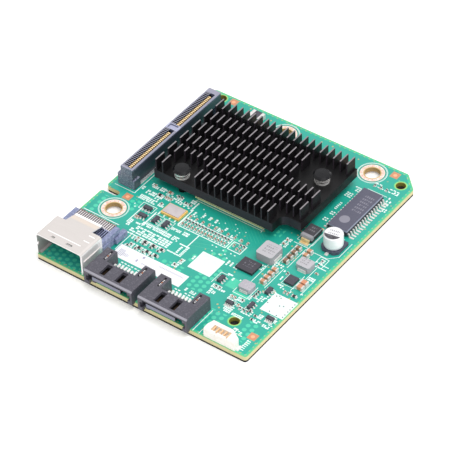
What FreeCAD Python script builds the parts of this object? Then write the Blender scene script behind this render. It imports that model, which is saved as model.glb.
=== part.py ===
import FreeCAD, Part
import math
import os

# Raid controller card. Modelled in board coordinates: X along the connector edge,
# Y from the connector edge towards the back, Z up from the component face.
# Everything is shifted to the bottom centre of the whole card on export.

# ---- circuit board -------------------------------------------------------
board_width = 81.55
board_depth = 95.06
board_thickness = 1.6
corner_radius = 1.0
front_left_inset = 2.1
front_left_inset_end = 12.0
edge_slot_front = 34.5
edge_slot_back = 36.9
edge_slot_end = 6.0
edge_slot_front_lip = 1.0
edge_slot_back_lip = 1.2
edge_slot_end_radius = 1.15
back_chamfer = 5.3
back_chamfer_radius = 1.0
front_corner_radius = 0.4
front_inset_radius = 0.8
mounting_hole_radius = 2.6
mounting_holes = [(8.73, 29.64), (66.34, 89.21), (32.3, 89.21)]
plain_hole_radius = 1.65
plain_holes = [(69.8, 10.4), (77.2, 89.1), (4.6, 92.4)]

# ---- insulating sheet ----------------------------------------------------
sheet_thickness = 0.7
sheet_inset = 0.0
sheet_hole_radius = 4.6

# ---- heat sink -----------------------------------------------------------
sink_left = 12.2
sink_front = 46.4
sink_width = 52.8
sink_depth = 36.1
sink_bottom = 2.6
sink_base_thickness = 3.3
fin_height = 4.5
fin_thickness = 0.45
fin_columns = 21
fin_rows = 6
fin_row_gap = 2.0
fin_edge_margin = 0.7
notch_width = 7.0
notch_depth = 5.3
notch_radius = 2.5
fin_root = 0.4
# fins left out round the push pins: first and last column, first and last row
fin_gaps = [(2, 5, 0, 0), (18, 20, 0, 0), (16, 20, 3, 4)]
# fins cut short behind the front pin: first and last column, row, length cut off
short_fins = (2, 5, 1, 2.0)

# ---- heat sink push pins -------------------------------------------------
pin_spots = [(21.4, 49.0), (59.2, 71.6)]
pin_shaft_radius = 1.35
pin_hole_clearance = 0.15
pin_head_radius = 2.95
pin_neck_radius = 2.3
pin_head_height = 1.6
pin_crown = 0.3
pin_top = 9.3
pin_barb_radius = 1.9
spring_radius = 2.2
spring_wire = 0.55
spring_start_angle = -150
spring_step_angle = 20
spring_steps = 28
spring_closed_share = 0.32

# ---- controller package --------------------------------------------------
package_size = 26.3
package_centre = (40.3, 60.9)
ball_height = 0.4
ball_pitch = 1.27
ball_radius = 0.3
ball_margin = 0.75
substrate_thickness = 0.75
lid_size = 23.4
lid_thickness = 1.2
pad_margin = 2.0

# ---- board to board connector --------------------------------------------
mezz_left = 3.9
mezz_width = 4.6
mezz_front = 39.9
mezz_length = 47.0
mezz_height = 8.0
mezz_step_left = 2.5
mezz_step_height = 4.5
mezz_edge = 0.25
mezz_groove_left = 6.1
mezz_groove_width = 1.7
mezz_groove_floor = 0.5
mezz_groove_lead = 0.4
mezz_groove_tail = 1.1
mezz_contact_pitch = 0.8
mezz_contact_thickness = 0.5
mezz_contact_root = 0.4
mezz_contact_tip = 0.95
mezz_contact_drop = 0.4
mezz_contact_gap = 0.05
mezz_slot_width = 0.45
mezz_slot_length = 1.6
mezz_blocks = [(41.1, 26), (66.1, 22)]
mezz_pocket_depth = 0.5
mezz_pocket_wall = 0.35
mezz_recess_height = 3.5
mezz_recess_depth = 0.7
mezz_foot_width = 0.6
mezz_foot_length = 3.1
mezz_tail_reach = 0.9
mezz_tail_width = 0.4
mezz_tail_sheet = 0.2
mezz_tail_first = 43.4
mezz_tail_count = 50

# ---- mini-SAS cage ---------------------------------------------------------
cage_left = 2.1
cage_width = 17.9
cage_front = 0.2
cage_depth = 10.0
cage_height = 8.2
cage_sheet = 0.35
cage_corner = 0.9
cage_corner_steps = 3
cage_tab_left = 6.0
cage_tab_width = 10.3
cage_tab_root = 1.0
cage_tab_flat = 0.4
cage_tab_fall = 0.9
cage_tab_crest = 14.4
cage_tab_band = 0.8
cage_tab_end = 16.35
cage_bead_place = 3.1
cage_bead_width = 0.6
cage_bead_rise = 0.12
cage_bead_left = 2.4
cage_bead_length = 12.8
cage_slot_place = 1.5
cage_slot_depth = 0.4
cage_slots = [(4.9, 1.0), (10.7, 2.0)]
cage_lance_places = [5.6, 8.2]
cage_lance_left = 14.4
cage_lance_length = 2.2
cage_panel_front = 1.2
cage_panel_length = 8.0
cage_panel_low = 4.7
cage_panel_height = 2.0
cage_panel_depth = 0.12
cage_rib_height = 0.25
cage_lip_low = 1.0
cage_lip_height = 6.2
cage_lip_depth = 0.4
cage_lip_reach = 0.25
cage_foot_front = 0.8
cage_foot_length = 5.0
cage_foot_width = 0.9
cage_notch_low = 3.3
cage_notch_height = 1.3
cage_notch_depth = 0.8

# ---- mini-SAS moulding -----------------------------------------------------
sas_fit = 0.1
sas_bulkhead = 1.8
sas_core_width = 16.5
sas_body_depth = 9.0
sas_body_height = 5.0
sas_shoulder_width = 17.5
sas_shoulder_low = 3.4
sas_boss_width = 18.3
sas_boss_depth = 3.6
sas_boss_height = 3.6
sas_leg_width = 18.5
sas_leg_inner = 15.0
sas_leg_front = 6.4
sas_leg_length = 5.4
sas_leg_height = 2.2
sas_leg_relief = 0.4
sas_leg_relief_length = 2.4
sas_contacts = 18
sas_pitch = 0.8
sas_contact_width = 0.35
sas_contact_sheet = 0.25
sas_slot_width = 0.45
sas_front_slots = (2.0, 3.7, 1.2)
sas_rear_slots = (6.2, 0.7)
sas_tail_bend = 0.6
sas_tail_reach = 2.0
sas_nose_reach = 4.7
sas_nose_rise = 2.6
sas_nose_height = 3.2
sas_nose_margin = 2.6
sas_nose_wall = 0.8
sas_card_slot_rise = 1.1
sas_card_slot_height = 1.0
sas_card_slot_back = 0.6

# ---- SATA plugs ----------------------------------------------------------
sata_left = 21.9
sata_pitch = 20.7
sata_width = 18.4
sata_front = -1.4
sata_height = 4.9
sata_drop = 0.5
sata_ear_width = 3.8
sata_ear_end = 10.5
sata_floor = 5.2
sata_wall = 1.7
sata_roof = 1.0
sata_back_wall = 0.9
sata_lip = 0.5
sata_side_step = 0.75
sata_side_step_low = 0.9
sata_side_step_height = 2.1
sata_window_front = -0.1
sata_window_width = 2.0
sata_window_length = 4.6
sata_window_offsets = (5.0, 10.9)
tongue_start = 2.4
tongue_width = 10.9
tongue_thickness = 1.35
tongue_rise = 0.95
tongue_front = -0.5
key_width = 1.2
key_drop = 0.75
sata_contacts = 7
sata_contact_pitch = 1.27
sata_contact_width = 0.6
sata_contact_sheet = 0.1
sata_contact_setback = 0.6
sata_tail_height = 1.6
sata_tail_sheet = 0.25
sata_tail_run = 3.0
sata_tail_drop = 0.6
sata_tail_foot = 1.4
lock_offsets = (2.5, 15.7)
lock_slot_front = 5.5
lock_slot_length = 4.3
lock_slot_width = 0.75
lock_pin_width = 0.4
lock_pin_margin = 0.7
lock_pin_drop = 0.15

# ---- white side entry header ---------------------------------------------
header_left = 66.0
header_width = 11.3
header_front = 0.2
header_depth = 4.4
header_height = 3.4
header_left_taper = 0.7
header_right_taper = 3.5
header_taper_depth = 2.2
header_chamfer = 0.4
header_window_end = 0.45
header_window_front = 0.7
header_window_length = 2.3
header_window_depth = 1.5
header_pins = 5
header_pitch = 1.35
header_first_pin = 2.5
header_pin_size = 0.45
header_pin_drop = 0.35
header_pin_reach = 2.0
header_tail_length = 0.9
header_tail_sheet = 0.25
header_notch_offsets = (4.1, 7.8)
header_notch_width = 0.55
header_notch_depth = 0.6
header_groove_width = 0.2
header_groove_depth = 0.12
header_tab_front = 0.7
header_tab_width = 0.7
header_tab_length = 2.0
header_tab_sheet = 0.3

# ---- memory chip ---------------------------------------------------------
memory_left = 69.35
memory_front = 59.45
memory_width = 7.45
memory_depth = 20.5
memory_height = 2.4
memory_standoff = 0.15
memory_draft = 0.25
memory_leads_a_side = 16
memory_pitch = 1.27
memory_lead_reach = 1.38
memory_lead_width = 0.42
lead_sheet = 0.2
lead_bend_share = 0.35

# ---- electrolytic capacitor ----------------------------------------------
can_centre = (75.8, 53.7)
can_radius = 3.15
can_top = 5.9
can_edge = 0.35
can_neck = 0.25
can_neck_height = 0.5
can_base_size = 6.6
can_base_height = 1.2
can_base_chamfer = 1.3
can_tab_width = 0.9
can_tab_reach = 1.0
can_tab_sheet = 0.3

# ---- diode ---------------------------------------------------------------
diode_left = 65.1
diode_front = 51.1
diode_width = 4.4
diode_length = 6.0
diode_height = 2.2
diode_draft = 0.2
diode_tab_width = 3.0
diode_tab_reach = 1.6

# ---- power inductors: left, front, width, depth, height, terminals along X --
inductors = {
    "large": (59.0, 36.0, 6.0, 6.4, 3.0, True),
    "medium": (71.6, 39.3, 4.9, 3.9, 2.2, False),
    "small": (62.5, 22.0, 4.5, 3.6, 1.6, False),
}
inductor_edge = 0.5
terminal_sheet = 0.3
terminal_margin = 0.2
terminal_rise = 0.4

# ---- flat chips: left, front, width, depth, height -------------------------
flat_chips = {
    "large": (56.4, 29.1, 6.3, 5.3, 0.9),
    "small": (72.3, 32.2, 3.3, 3.6, 0.8),
}

# ---- small chips with leads: centre x, centre y, body x, body y, leads, side -
small_chips = [
    (17.95, 35.25, 2.9, 1.5, 3, "y"),
    (18.65, 31.65, 2.9, 1.5, 3, "y"),
    (23.25, 32.45, 1.5, 2.9, 3, "x"),
    (27.15, 32.45, 1.5, 2.9, 3, "x"),
    (56.00, 22.55, 1.5, 2.9, 3, "x"),
    (71.00, 26.40, 1.5, 2.9, 3, "x"),
    (70.30, 18.20, 1.3, 2.9, 3, "x"),
    (64.30, 15.60, 2.5, 1.4, 4, "y"),
    (78.25, 16.90, 2.5, 1.4, 4, "y"),
]
small_chip_height = 1.05
small_chip_draft = 0.1
small_lead_reach = 0.6
small_lead_width = 0.32
small_lead_sheet = 0.15
small_lead_margin = 0.3

# ---- oscillator ----------------------------------------------------------
oscillator_left = 22.4
oscillator_front = 36.0
oscillator_width = 7.0
oscillator_depth = 5.0
oscillator_base_height = 0.8
oscillator_lid_height = 0.35
oscillator_lid_margin = 0.4

# ---- chip components: body x, body y, height, end cap length ---------------
chip_sizes = {
    "tan": (2.0, 1.25, 1.2, 0.4),
    "brown": (2.0, 1.25, 1.2, 0.4),
    "orange": (2.4, 1.6, 1.2, 0.45),
    "small": (1.0, 0.5, 0.45, 0.22),
}
chip_cap_lip = 0.04
tan_spots = [(67.2, 28.6, 0), (67.2, 30.65, 0), (67.2, 32.7, 0), (67.2, 34.75, 0),
             (71.3, 45.3, 0), (71.3, 47.4, 0)]
brown_spots = [(67.6, 39.9, 0), (67.6, 42.15, 0), (67.6, 44.4, 0), (67.6, 46.65, 0)]
orange_spots = [(77.9, 32.9, 0), (77.9, 35.1, 0)]
# rows of small components: first x, first y, count, step x, step y, lying along Y
capacitor_rows = [
    (31.2, 39.9, 7, 2.42, 0.0, 1),
    (31.0, 36.0, 14, 1.25, 0.0, 1),
]
resistor_rows = [
    (31.0, 38.0, 14, 1.25, 0.0, 1),
]

# ---- label and rear component ---------------------------------------------
label_left = 21.2
label_front = 12.5
label_width = 26.0
label_depth = 5.5
label_thickness = 0.1
rear_chip = (18.0, 88.6, 4.6, 3.4, 1.9)
rear_chip_cap = 1.1

nodes = {}


# ---- shape helpers ---------------------------------------------------------
def block(x, y, z, width, depth, height):
    return Part.makeBox(width, depth, height, FreeCAD.Vector(x, y, z))


def post(x, y, bottom, top, radius):
    return Part.makeCylinder(radius, top - bottom, FreeCAD.Vector(x, y, bottom))


def group(shapes):
    return Part.makeCompound(shapes)


def joined(shapes):
    return shapes[0].multiFuse(shapes[1:]).removeSplitter()


def roundedFace(corners):
    # corners: (x, y, radius) in order round the outline
    count = len(corners)
    spots = []
    for index in range(count):
        x, y, radius = corners[index]
        here = FreeCAD.Vector(x, y, 0)
        before = FreeCAD.Vector(corners[index - 1][0], corners[index - 1][1], 0) - here
        after_x, after_y, unused = corners[(index + 1) % count]
        after = FreeCAD.Vector(after_x, after_y, 0) - here
        before.normalize()
        after.normalize()
        if radius <= 0:
            spots.append((here, here, None))
            continue
        half = before.getAngle(after) / 2
        reach = radius / math.tan(half)
        middle = before + after
        middle.normalize()
        inner = here + middle * (radius / math.sin(half) - radius)
        spots.append((here + before * reach, here + after * reach, inner))
    edges = []
    for index in range(count):
        start, end, inner = spots[index]
        if inner is not None:
            edges.append(Part.Arc(start, inner, end).toShape())
        following = spots[(index + 1) % count][0]
        if (following - end).Length > 1e-6:
            edges.append(Part.LineSegment(end, following).toShape())
    return Part.Face(Part.Wire(edges))


def plate(corners, bottom, height):
    face = roundedFace(corners)
    face.translate(FreeCAD.Vector(0, 0, bottom))
    return face.extrude(FreeCAD.Vector(0, 0, height))


def profileX(points, start, length):
    # points: (y, z), drawn out along X
    corners = [FreeCAD.Vector(start, y, z) for y, z in points]
    corners.append(corners[0])
    return Part.Face(Part.makePolygon(corners)).extrude(FreeCAD.Vector(length, 0, 0))


def profileY(points, start, length):
    # points: (x, z), drawn out along Y
    corners = [FreeCAD.Vector(x, start, z) for x, z in points]
    corners.append(corners[0])
    return Part.Face(Part.makePolygon(corners)).extrude(FreeCAD.Vector(0, length, 0))


def turned(x, y, outline):
    # solid of revolution from (radius, height) points about a vertical axis
    corners = [FreeCAD.Vector(x + radius, y, z) for radius, z in outline]
    corners.append(corners[0])
    face = Part.Face(Part.makePolygon(corners))
    return face.revolve(FreeCAD.Vector(x, y, 0), FreeCAD.Vector(0, 0, 1), 360)


def arcPoints(centre_a, centre_b, radius, start, end, steps):
    # points of an arc between two angles in degrees, both ends included
    turn = (end - start) / steps
    angles = [math.radians(start + index * turn) for index in range(steps + 1)]
    return [(centre_a + radius * math.cos(a), centre_b + radius * math.sin(a)) for a in angles]


def coil(x, y, radius, wire, first_angle, step_angle, heights):
    # square wire wound about a vertical axis; heights gives the wire's underside at each step
    sections = []
    for index, low in enumerate(heights):
        angle = math.radians(first_angle + index * step_angle)
        corners = []
        for out, up in ((0, 0), (wire, 0), (wire, wire), (0, wire), (0, 0)):
            reach = radius - wire / 2 + out
            corners.append(FreeCAD.Vector(x + reach * math.cos(angle), y + reach * math.sin(angle), low + up))
        sections.append(Part.makePolygon(corners))
    return Part.makeLoft(sections, True, True)


def mouldedBody(x, y, z, width, depth, height, waist, draft):
    # chip body: straight waist, tapered above and below it
    low = taper(x, y, z, width, depth, waist, draft, 0.0)
    high = taper(x, y, z + waist, width, depth, height - waist, 0.0, draft)
    return low.fuse(high).removeSplitter()


def taper(x, y, z, width, depth, height, low_inset, high_inset):
    rims = []
    for level, inset in ((z, low_inset), (z + height, high_inset)):
        corners = [
            FreeCAD.Vector(x + inset, y + inset, level),
            FreeCAD.Vector(x + width - inset, y + inset, level),
            FreeCAD.Vector(x + width - inset, y + depth - inset, level),
            FreeCAD.Vector(x + inset, y + depth - inset, level),
        ]
        corners.append(corners[0])
        rims.append(Part.makePolygon(corners))
    return Part.makeLoft(rims, True, True)


def chipLead(x, y, side, width, exit_height, reach, sheet):
    # gull wing lead from a body face at (x, y) pointing to "+x", "-x", "+y" or "-y"
    bend = reach * lead_bend_share
    outline = [
        (0, exit_height - sheet), (bend, 0), (reach, 0), (reach, sheet),
        (bend + sheet, sheet), (bend, exit_height), (0, exit_height),
    ]
    sign = 1 if side[0] == "+" else -1
    if side[1] == "x":
        return profileY([(x + sign * s, h) for s, h in outline], y - width / 2, width)
    return profileX([(y + sign * s, h) for s, h in outline], x - width / 2, width)


# ---- board and sheet -------------------------------------------------------
def boardOutline(inset):
    left = inset
    right = board_width - inset
    front = inset
    back = board_depth - inset
    step = front_left_inset + inset
    chamfer = back_chamfer - inset * (2 - math.sqrt(2))
    slot_low = edge_slot_front - inset
    slot_high = edge_slot_back + inset
    slot_end = edge_slot_end + inset
    return [
        (step, front, front_corner_radius),
        (right, front, corner_radius),
        (right, back - chamfer, back_chamfer_radius),
        (right - chamfer, back, back_chamfer_radius),
        (left, back, corner_radius),
        (left, slot_high, edge_slot_back_lip),
        (slot_end, slot_high, edge_slot_end_radius),
        (slot_end, slot_low, edge_slot_end_radius),
        (left, slot_low, edge_slot_front_lip),
        (left, front_left_inset_end + inset, front_inset_radius),
        (step, front_left_inset_end + inset - front_left_inset, front_inset_radius),
    ]


def makeBoard():
    body = plate(boardOutline(0), -board_thickness, board_thickness)
    holes = [post(x, y, -board_thickness, 0, mounting_hole_radius) for x, y in mounting_holes]
    holes += [post(x, y, -board_thickness, 0, plain_hole_radius) for x, y in plain_holes]
    shaft = pin_shaft_radius + pin_hole_clearance
    holes += [post(x, y, -board_thickness, 0, shaft) for x, y in pin_spots]
    return body.cut(group(holes))


def makeSheet():
    bottom = -board_thickness - sheet_thickness
    body = plate(boardOutline(sheet_inset), bottom, sheet_thickness)
    top = -board_thickness
    holes = [post(x, y, bottom, top, sheet_hole_radius) for x, y in mounting_holes]
    barb = pin_barb_radius + pin_hole_clearance * 2
    holes += [post(x, y, bottom, top, barb) for x, y in pin_spots]
    return body.cut(group(holes))


# ---- heat sink and its fixings ---------------------------------------------
def finPresent(column, row):
    for first_column, last_column, first_row, last_row in fin_gaps:
        if first_column <= column <= last_column and first_row <= row <= last_row:
            return False
    return True


def makeHeatSink():
    right = sink_left + sink_width
    back = sink_front + sink_depth
    base = plate([
        (sink_left, sink_front, 0),
        (right - notch_width, sink_front, 0),
        (right - notch_width, sink_front + notch_depth, notch_radius),
        (right, sink_front + notch_depth, 0),
        (right, back, 0),
        (sink_left, back, 0),
    ], sink_bottom, sink_base_thickness)
    base_top = sink_bottom + sink_base_thickness
    column_pitch = (sink_width - 2 * fin_edge_margin - fin_thickness) / (fin_columns - 1)
    row_length = (sink_depth - (fin_rows - 1) * fin_row_gap) / fin_rows
    first_short, last_short, short_row, cut_off = short_fins
    fins = []
    for row in range(fin_rows):
        for column in range(fin_columns):
            if not finPresent(column, row):
                continue
            x = sink_left + fin_edge_margin + column * column_pitch
            y = sink_front + row * (row_length + fin_row_gap)
            length = row_length
            if row == short_row and first_short <= column <= last_short:
                length -= cut_off
                y += cut_off
            fins.append(block(x, y, base_top - fin_root, fin_thickness, length, fin_height + fin_root))
    body = joined([base] + fins)
    shaft = pin_shaft_radius + pin_hole_clearance
    holes = [post(x, y, sink_bottom, base_top, shaft) for x, y in pin_spots]
    return body.cut(group(holes))


def makePushPin(x, y):
    under_head = pin_top - pin_head_height
    brim = (under_head + pin_top) / 2
    return turned(x, y, [
        (0, -board_thickness - sheet_thickness), (pin_shaft_radius, -board_thickness - sheet_thickness),
        (pin_barb_radius, -board_thickness), (pin_shaft_radius, -board_thickness),
        (pin_shaft_radius, under_head), (pin_neck_radius, under_head),
        (pin_head_radius, brim), (pin_neck_radius, pin_top - pin_crown / 2), (0, pin_top),
    ])


def makePinSpring(x, y):
    # flat closed stretch on the base, one rise, flat closed stretch under the pin's head
    low = sink_bottom + sink_base_thickness
    high = pin_top - pin_head_height - spring_wire
    rise = 1 - 2 * spring_closed_share
    heights = []
    for index in range(spring_steps + 1):
        along = (index / spring_steps - spring_closed_share) / rise
        heights.append(low + (high - low) * min(max(along, 0.0), 1.0))
    return coil(x, y, spring_radius, spring_wire, spring_start_angle, spring_step_angle, heights)


# ---- controller ------------------------------------------------------------
def makeController():
    x = package_centre[0] - package_size / 2
    y = package_centre[1] - package_size / 2
    nodes["controller_substrate"] = block(x, y, ball_height, package_size, package_size, substrate_thickness)
    lid_bottom = ball_height + substrate_thickness
    rim = (package_size - lid_size) / 2
    nodes["controller_lid"] = block(x + rim, y + rim, lid_bottom, lid_size, lid_size, lid_thickness)
    pad_bottom = lid_bottom + lid_thickness
    pad_rim = rim + pad_margin
    pad_size = package_size - 2 * pad_rim
    nodes["thermal_pad"] = block(
        x + pad_rim, y + pad_rim, pad_bottom, pad_size, pad_size, sink_bottom - pad_bottom)
    across = int((package_size - 2 * ball_margin) / ball_pitch)
    start = -ball_pitch * across / 2
    balls = []
    for column in range(across + 1):
        for row in range(across + 1):
            if column not in (0, across) and row not in (0, across):
                continue
            spot_x = package_centre[0] + start + column * ball_pitch
            spot_y = package_centre[1] + start + row * ball_pitch
            balls.append(plate([
                (spot_x + ball_radius, spot_y, 0), (spot_x, spot_y + ball_radius, 0),
                (spot_x - ball_radius, spot_y, 0), (spot_x, spot_y - ball_radius, 0),
            ], 0, ball_height))
    nodes["controller_solder_balls"] = group(balls)


# ---- board to board connector ----------------------------------------------
def combOutline(start, count):
    # long groove with one narrow contact slot a pitch on its left side
    right = mezz_groove_left + mezz_groove_width
    front = start - mezz_groove_lead
    back = start + count * mezz_contact_pitch + mezz_groove_tail
    outline = [
        (mezz_groove_left, front, 0), (right, front, 0),
        (right, back, 0), (mezz_groove_left, back, 0),
    ]
    for index in reversed(range(count)):
        middle = start + (index + 0.5) * mezz_contact_pitch
        low = middle - mezz_slot_width / 2
        high = middle + mezz_slot_width / 2
        deep = mezz_groove_left - mezz_slot_length
        outline += [(mezz_groove_left, high, 0), (deep, high, 0), (deep, low, 0), (mezz_groove_left, low, 0)]
    return outline


def makeMezzanine():
    back = mezz_front + mezz_length
    right = mezz_left + mezz_width
    groove_bottom = mezz_recess_height + mezz_groove_floor
    body = profileY([
        (mezz_step_left, 0), (right - mezz_recess_depth, 0),
        (right - mezz_recess_depth, mezz_recess_height), (right, mezz_recess_height + 2 * mezz_edge),
        (right, mezz_height - mezz_edge), (right - mezz_edge, mezz_height),
        (mezz_left, mezz_height), (mezz_left, mezz_step_height + mezz_edge),
        (mezz_left - mezz_edge, mezz_step_height), (mezz_step_left, mezz_step_height),
    ], mezz_front, mezz_length)
    feet = [block(right - mezz_recess_depth, y, 0, mezz_recess_depth + mezz_foot_width,
                  mezz_foot_length, mezz_recess_height)
            for y in (mezz_front, back - mezz_foot_length)]
    body = joined([body] + feet)
    cuts = [plate(combOutline(start, count), groove_bottom, mezz_height - groove_bottom)
            for start, count in mezz_blocks]
    # shallow pocket in the bridge between the two groups of contacts
    first_start, first_count = mezz_blocks[0]
    bridge = first_start + first_count * mezz_contact_pitch + mezz_groove_tail + mezz_pocket_wall
    bridge_end = mezz_blocks[1][0] - mezz_groove_lead - mezz_pocket_wall
    pocket_left = mezz_groove_left - mezz_slot_length
    cuts.append(block(pocket_left, bridge, mezz_height - mezz_pocket_depth,
                      mezz_groove_left + mezz_groove_width - pocket_left, bridge_end - bridge,
                      mezz_pocket_depth))
    nodes["mezzanine_housing"] = body.cut(group(cuts))
    makeMezzanineContacts(groove_bottom)


def makeMezzanineContacts(groove_bottom):
    left = mezz_groove_left + mezz_contact_gap
    contacts = []
    for start, count in mezz_blocks:
        for index in range(count):
            y = start + (index + 0.5) * mezz_contact_pitch
            contacts.append(profileY([
                (left, groove_bottom), (left + mezz_contact_root, groove_bottom),
                (left + mezz_contact_tip, mezz_height - mezz_contact_drop),
                (left, mezz_height - mezz_contact_drop),
            ], y - mezz_contact_thickness / 2, mezz_contact_thickness))
    nodes["mezzanine_contacts"] = group(contacts)
    tails = []
    tail_left = mezz_left + mezz_width - mezz_recess_depth
    for index in range(mezz_tail_count):
        y = mezz_tail_first + index * mezz_contact_pitch - mezz_tail_width / 2
        tails.append(block(tail_left, y, 0, mezz_tail_reach, mezz_tail_width, mezz_tail_sheet))
    nodes["mezzanine_solder_tails"] = group(tails)


# ---- mini-SAS receptacle ---------------------------------------------------
def cageSection():
    # folded sheet over a rounded top, open underneath
    right = cage_left + cage_width
    low = cage_height - cage_corner
    inner = cage_corner - cage_sheet
    steps = cage_corner_steps
    return ([(cage_left, 0)]
            + arcPoints(cage_left + cage_corner, low, cage_corner, 180, 90, steps)
            + arcPoints(right - cage_corner, low, cage_corner, 90, 0, steps)
            + [(right, 0), (right - cage_sheet, 0)]
            + arcPoints(right - cage_corner, low, inner, 0, 90, steps)
            + arcPoints(cage_left + cage_corner, low, inner, 90, 180, steps)
            + [(cage_left + cage_sheet, 0)])


def makeCageTab():
    # sprung tab: falls to a bright crest, then turns down on to the moulding
    back = cage_front + cage_depth
    crest = cage_height - cage_tab_fall
    band_end = cage_tab_crest + cage_tab_band
    return profileX([
        (back - cage_tab_root, cage_height), (back + cage_tab_flat, cage_height),
        (cage_tab_crest, crest), (band_end, crest),
        (cage_tab_end, sas_body_height + cage_sheet), (cage_tab_end, sas_body_height),
        (cage_tab_end - cage_sheet, sas_body_height),
        (band_end - cage_sheet / 2, crest - cage_sheet), (cage_tab_crest, crest - cage_sheet),
        (back + cage_tab_flat, cage_height - cage_sheet), (back - cage_tab_root, cage_height - cage_sheet),
    ], cage_tab_left, cage_tab_width)


def pressedBar(place, left, length):
    # low rounded bar pressed up out of the cage's top
    width = cage_bead_width
    rise = cage_bead_rise
    return profileX([
        (place, cage_height), (place + width / 4, cage_height + rise),
        (place + width * 3 / 4, cage_height + rise), (place + width, cage_height),
    ], left, length)


def makeSasCage():
    right = cage_left + cage_width
    shell = profileY(cageSection(), cage_front, cage_depth)
    pieces = [shell, makeCageTab(), pressedBar(cage_bead_place, cage_left + cage_bead_left, cage_bead_length)]
    pieces += [pressedBar(place, cage_left + cage_lance_left, cage_lance_length)
               for place in cage_lance_places]
    pieces.append(block(right, cage_panel_front, cage_panel_low - cage_rib_height, cage_panel_depth,
                        cage_panel_length, cage_rib_height))
    pieces.append(block(right, cage_front, cage_lip_low, cage_lip_reach, cage_lip_depth, cage_lip_height))
    for x in (cage_left + cage_sheet, right - cage_sheet - cage_foot_width):
        pieces.append(block(x, cage_foot_front, 0, cage_foot_width, cage_foot_length, cage_sheet))
    cuts = [block(cage_left + offset, cage_slot_place, cage_height - cage_corner, width,
                  cage_slot_depth, cage_corner)
            for offset, width in cage_slots]
    cuts.append(block(right - cage_panel_depth, cage_panel_front, cage_panel_low, cage_panel_depth,
                      cage_panel_length, cage_panel_height))
    cuts.append(block(cage_left, cage_front, cage_notch_low, cage_sheet, cage_notch_depth, cage_notch_height))
    return joined(pieces).cut(group(cuts))


def sasSide(side, inner_width, outer_width, points):
    # profile of (y, z) points between two distances from the receptacle's centre line
    centre = cage_left + cage_width / 2
    start = centre + side * (inner_width if side > 0 else outer_width) / 2
    return profileX(points, start, (outer_width - inner_width) / 2)


def makeSasBody():
    back = cage_front + cage_depth
    rear = back + sas_body_depth
    inner_left = cage_left + cage_sheet + sas_fit
    inner_right = cage_left + cage_width - cage_sheet - sas_fit
    inner_top = cage_height - cage_sheet - sas_fit
    core_left = cage_left + (cage_width - sas_core_width) / 2
    bevel = cage_corner - cage_sheet
    bulkhead = profileY([
        (inner_left, 0), (inner_right, 0), (inner_right, inner_top - bevel), (inner_right - bevel, inner_top),
        (inner_left + bevel, inner_top), (inner_left, inner_top - bevel),
    ], back - sas_bulkhead, sas_bulkhead)
    core = block(core_left, back, 0, sas_core_width, sas_body_depth, sas_body_height)
    nose = block(cage_left + sas_nose_margin, back - sas_nose_reach, sas_nose_rise,
                 cage_width - 2 * sas_nose_margin, sas_nose_reach, sas_nose_height)
    leg_front = back + sas_leg_front
    leg_back = leg_front + sas_leg_length
    pieces = [bulkhead, core, nose]
    for side in (-1, 1):
        pieces.append(sasSide(side, sas_core_width, sas_shoulder_width, [
            (back, sas_shoulder_low), (rear, sas_shoulder_low), (rear, sas_body_height),
            (back, sas_body_height)]))
        pieces.append(sasSide(side, sas_core_width, sas_boss_width, [
            (back, 0), (back + sas_boss_depth, 0), (back + sas_boss_depth, sas_boss_height),
            (back, sas_boss_height)]))
        pieces.append(sasSide(side, sas_leg_inner, sas_leg_width, [
            (leg_front, sas_leg_relief), (leg_front + sas_leg_relief_length, sas_leg_relief),
            (leg_front + sas_leg_relief_length, 0), (leg_back, 0), (leg_back, sas_leg_height),
            (leg_front, sas_leg_height)]))
    return joined(pieces).cut(group(sasSlots()))


def sasContactPlaces():
    centre = cage_left + cage_width / 2
    first = centre - (sas_contacts - 1) * sas_pitch / 2
    return [first + index * sas_pitch for index in range(sas_contacts)]


def sasSlots():
    back = cage_front + cage_depth
    front_start, front_length, front_depth = sas_front_slots
    rear_start, rear_depth = sas_rear_slots
    cuts = []
    for x in sasContactPlaces():
        left = x - sas_slot_width / 2
        cuts.append(block(left, back + front_start, sas_body_height - front_depth, sas_slot_width,
                          front_length, front_depth))
        cuts.append(block(left, back + rear_start, sas_body_height - rear_depth, sas_slot_width,
                          sas_body_depth - rear_start, rear_depth))
    cuts.append(block(cage_left + sas_nose_margin + sas_nose_wall, back - sas_nose_reach,
                      sas_nose_rise + sas_card_slot_rise,
                      cage_width - 2 * (sas_nose_margin + sas_nose_wall),
                      sas_nose_reach - sas_card_slot_back, sas_card_slot_height))
    return cuts


def makeSasContacts():
    # each lies in its slot, turns up at the rear edge and runs down to the board
    back = cage_front + cage_depth
    rear = back + sas_body_depth
    rear_start, rear_depth = sas_rear_slots
    floor = sas_body_height - rear_depth
    top = sas_body_height - sas_fit
    sheet = sas_contact_sheet
    foot = rear + sas_tail_bend
    outline = [
        (back + rear_start, floor), (rear + sas_fit, floor), (foot, 0), (rear + sas_tail_reach, 0),
        (rear + sas_tail_reach, sheet), (foot + sheet, sheet), (foot, top), (rear + sas_fit, top),
        (rear - sheet, floor + sheet), (back + rear_start, floor + sheet),
    ]
    rows = [profileX(outline, x - sas_contact_width / 2, sas_contact_width) for x in sasContactPlaces()]
    return group(rows)


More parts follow.
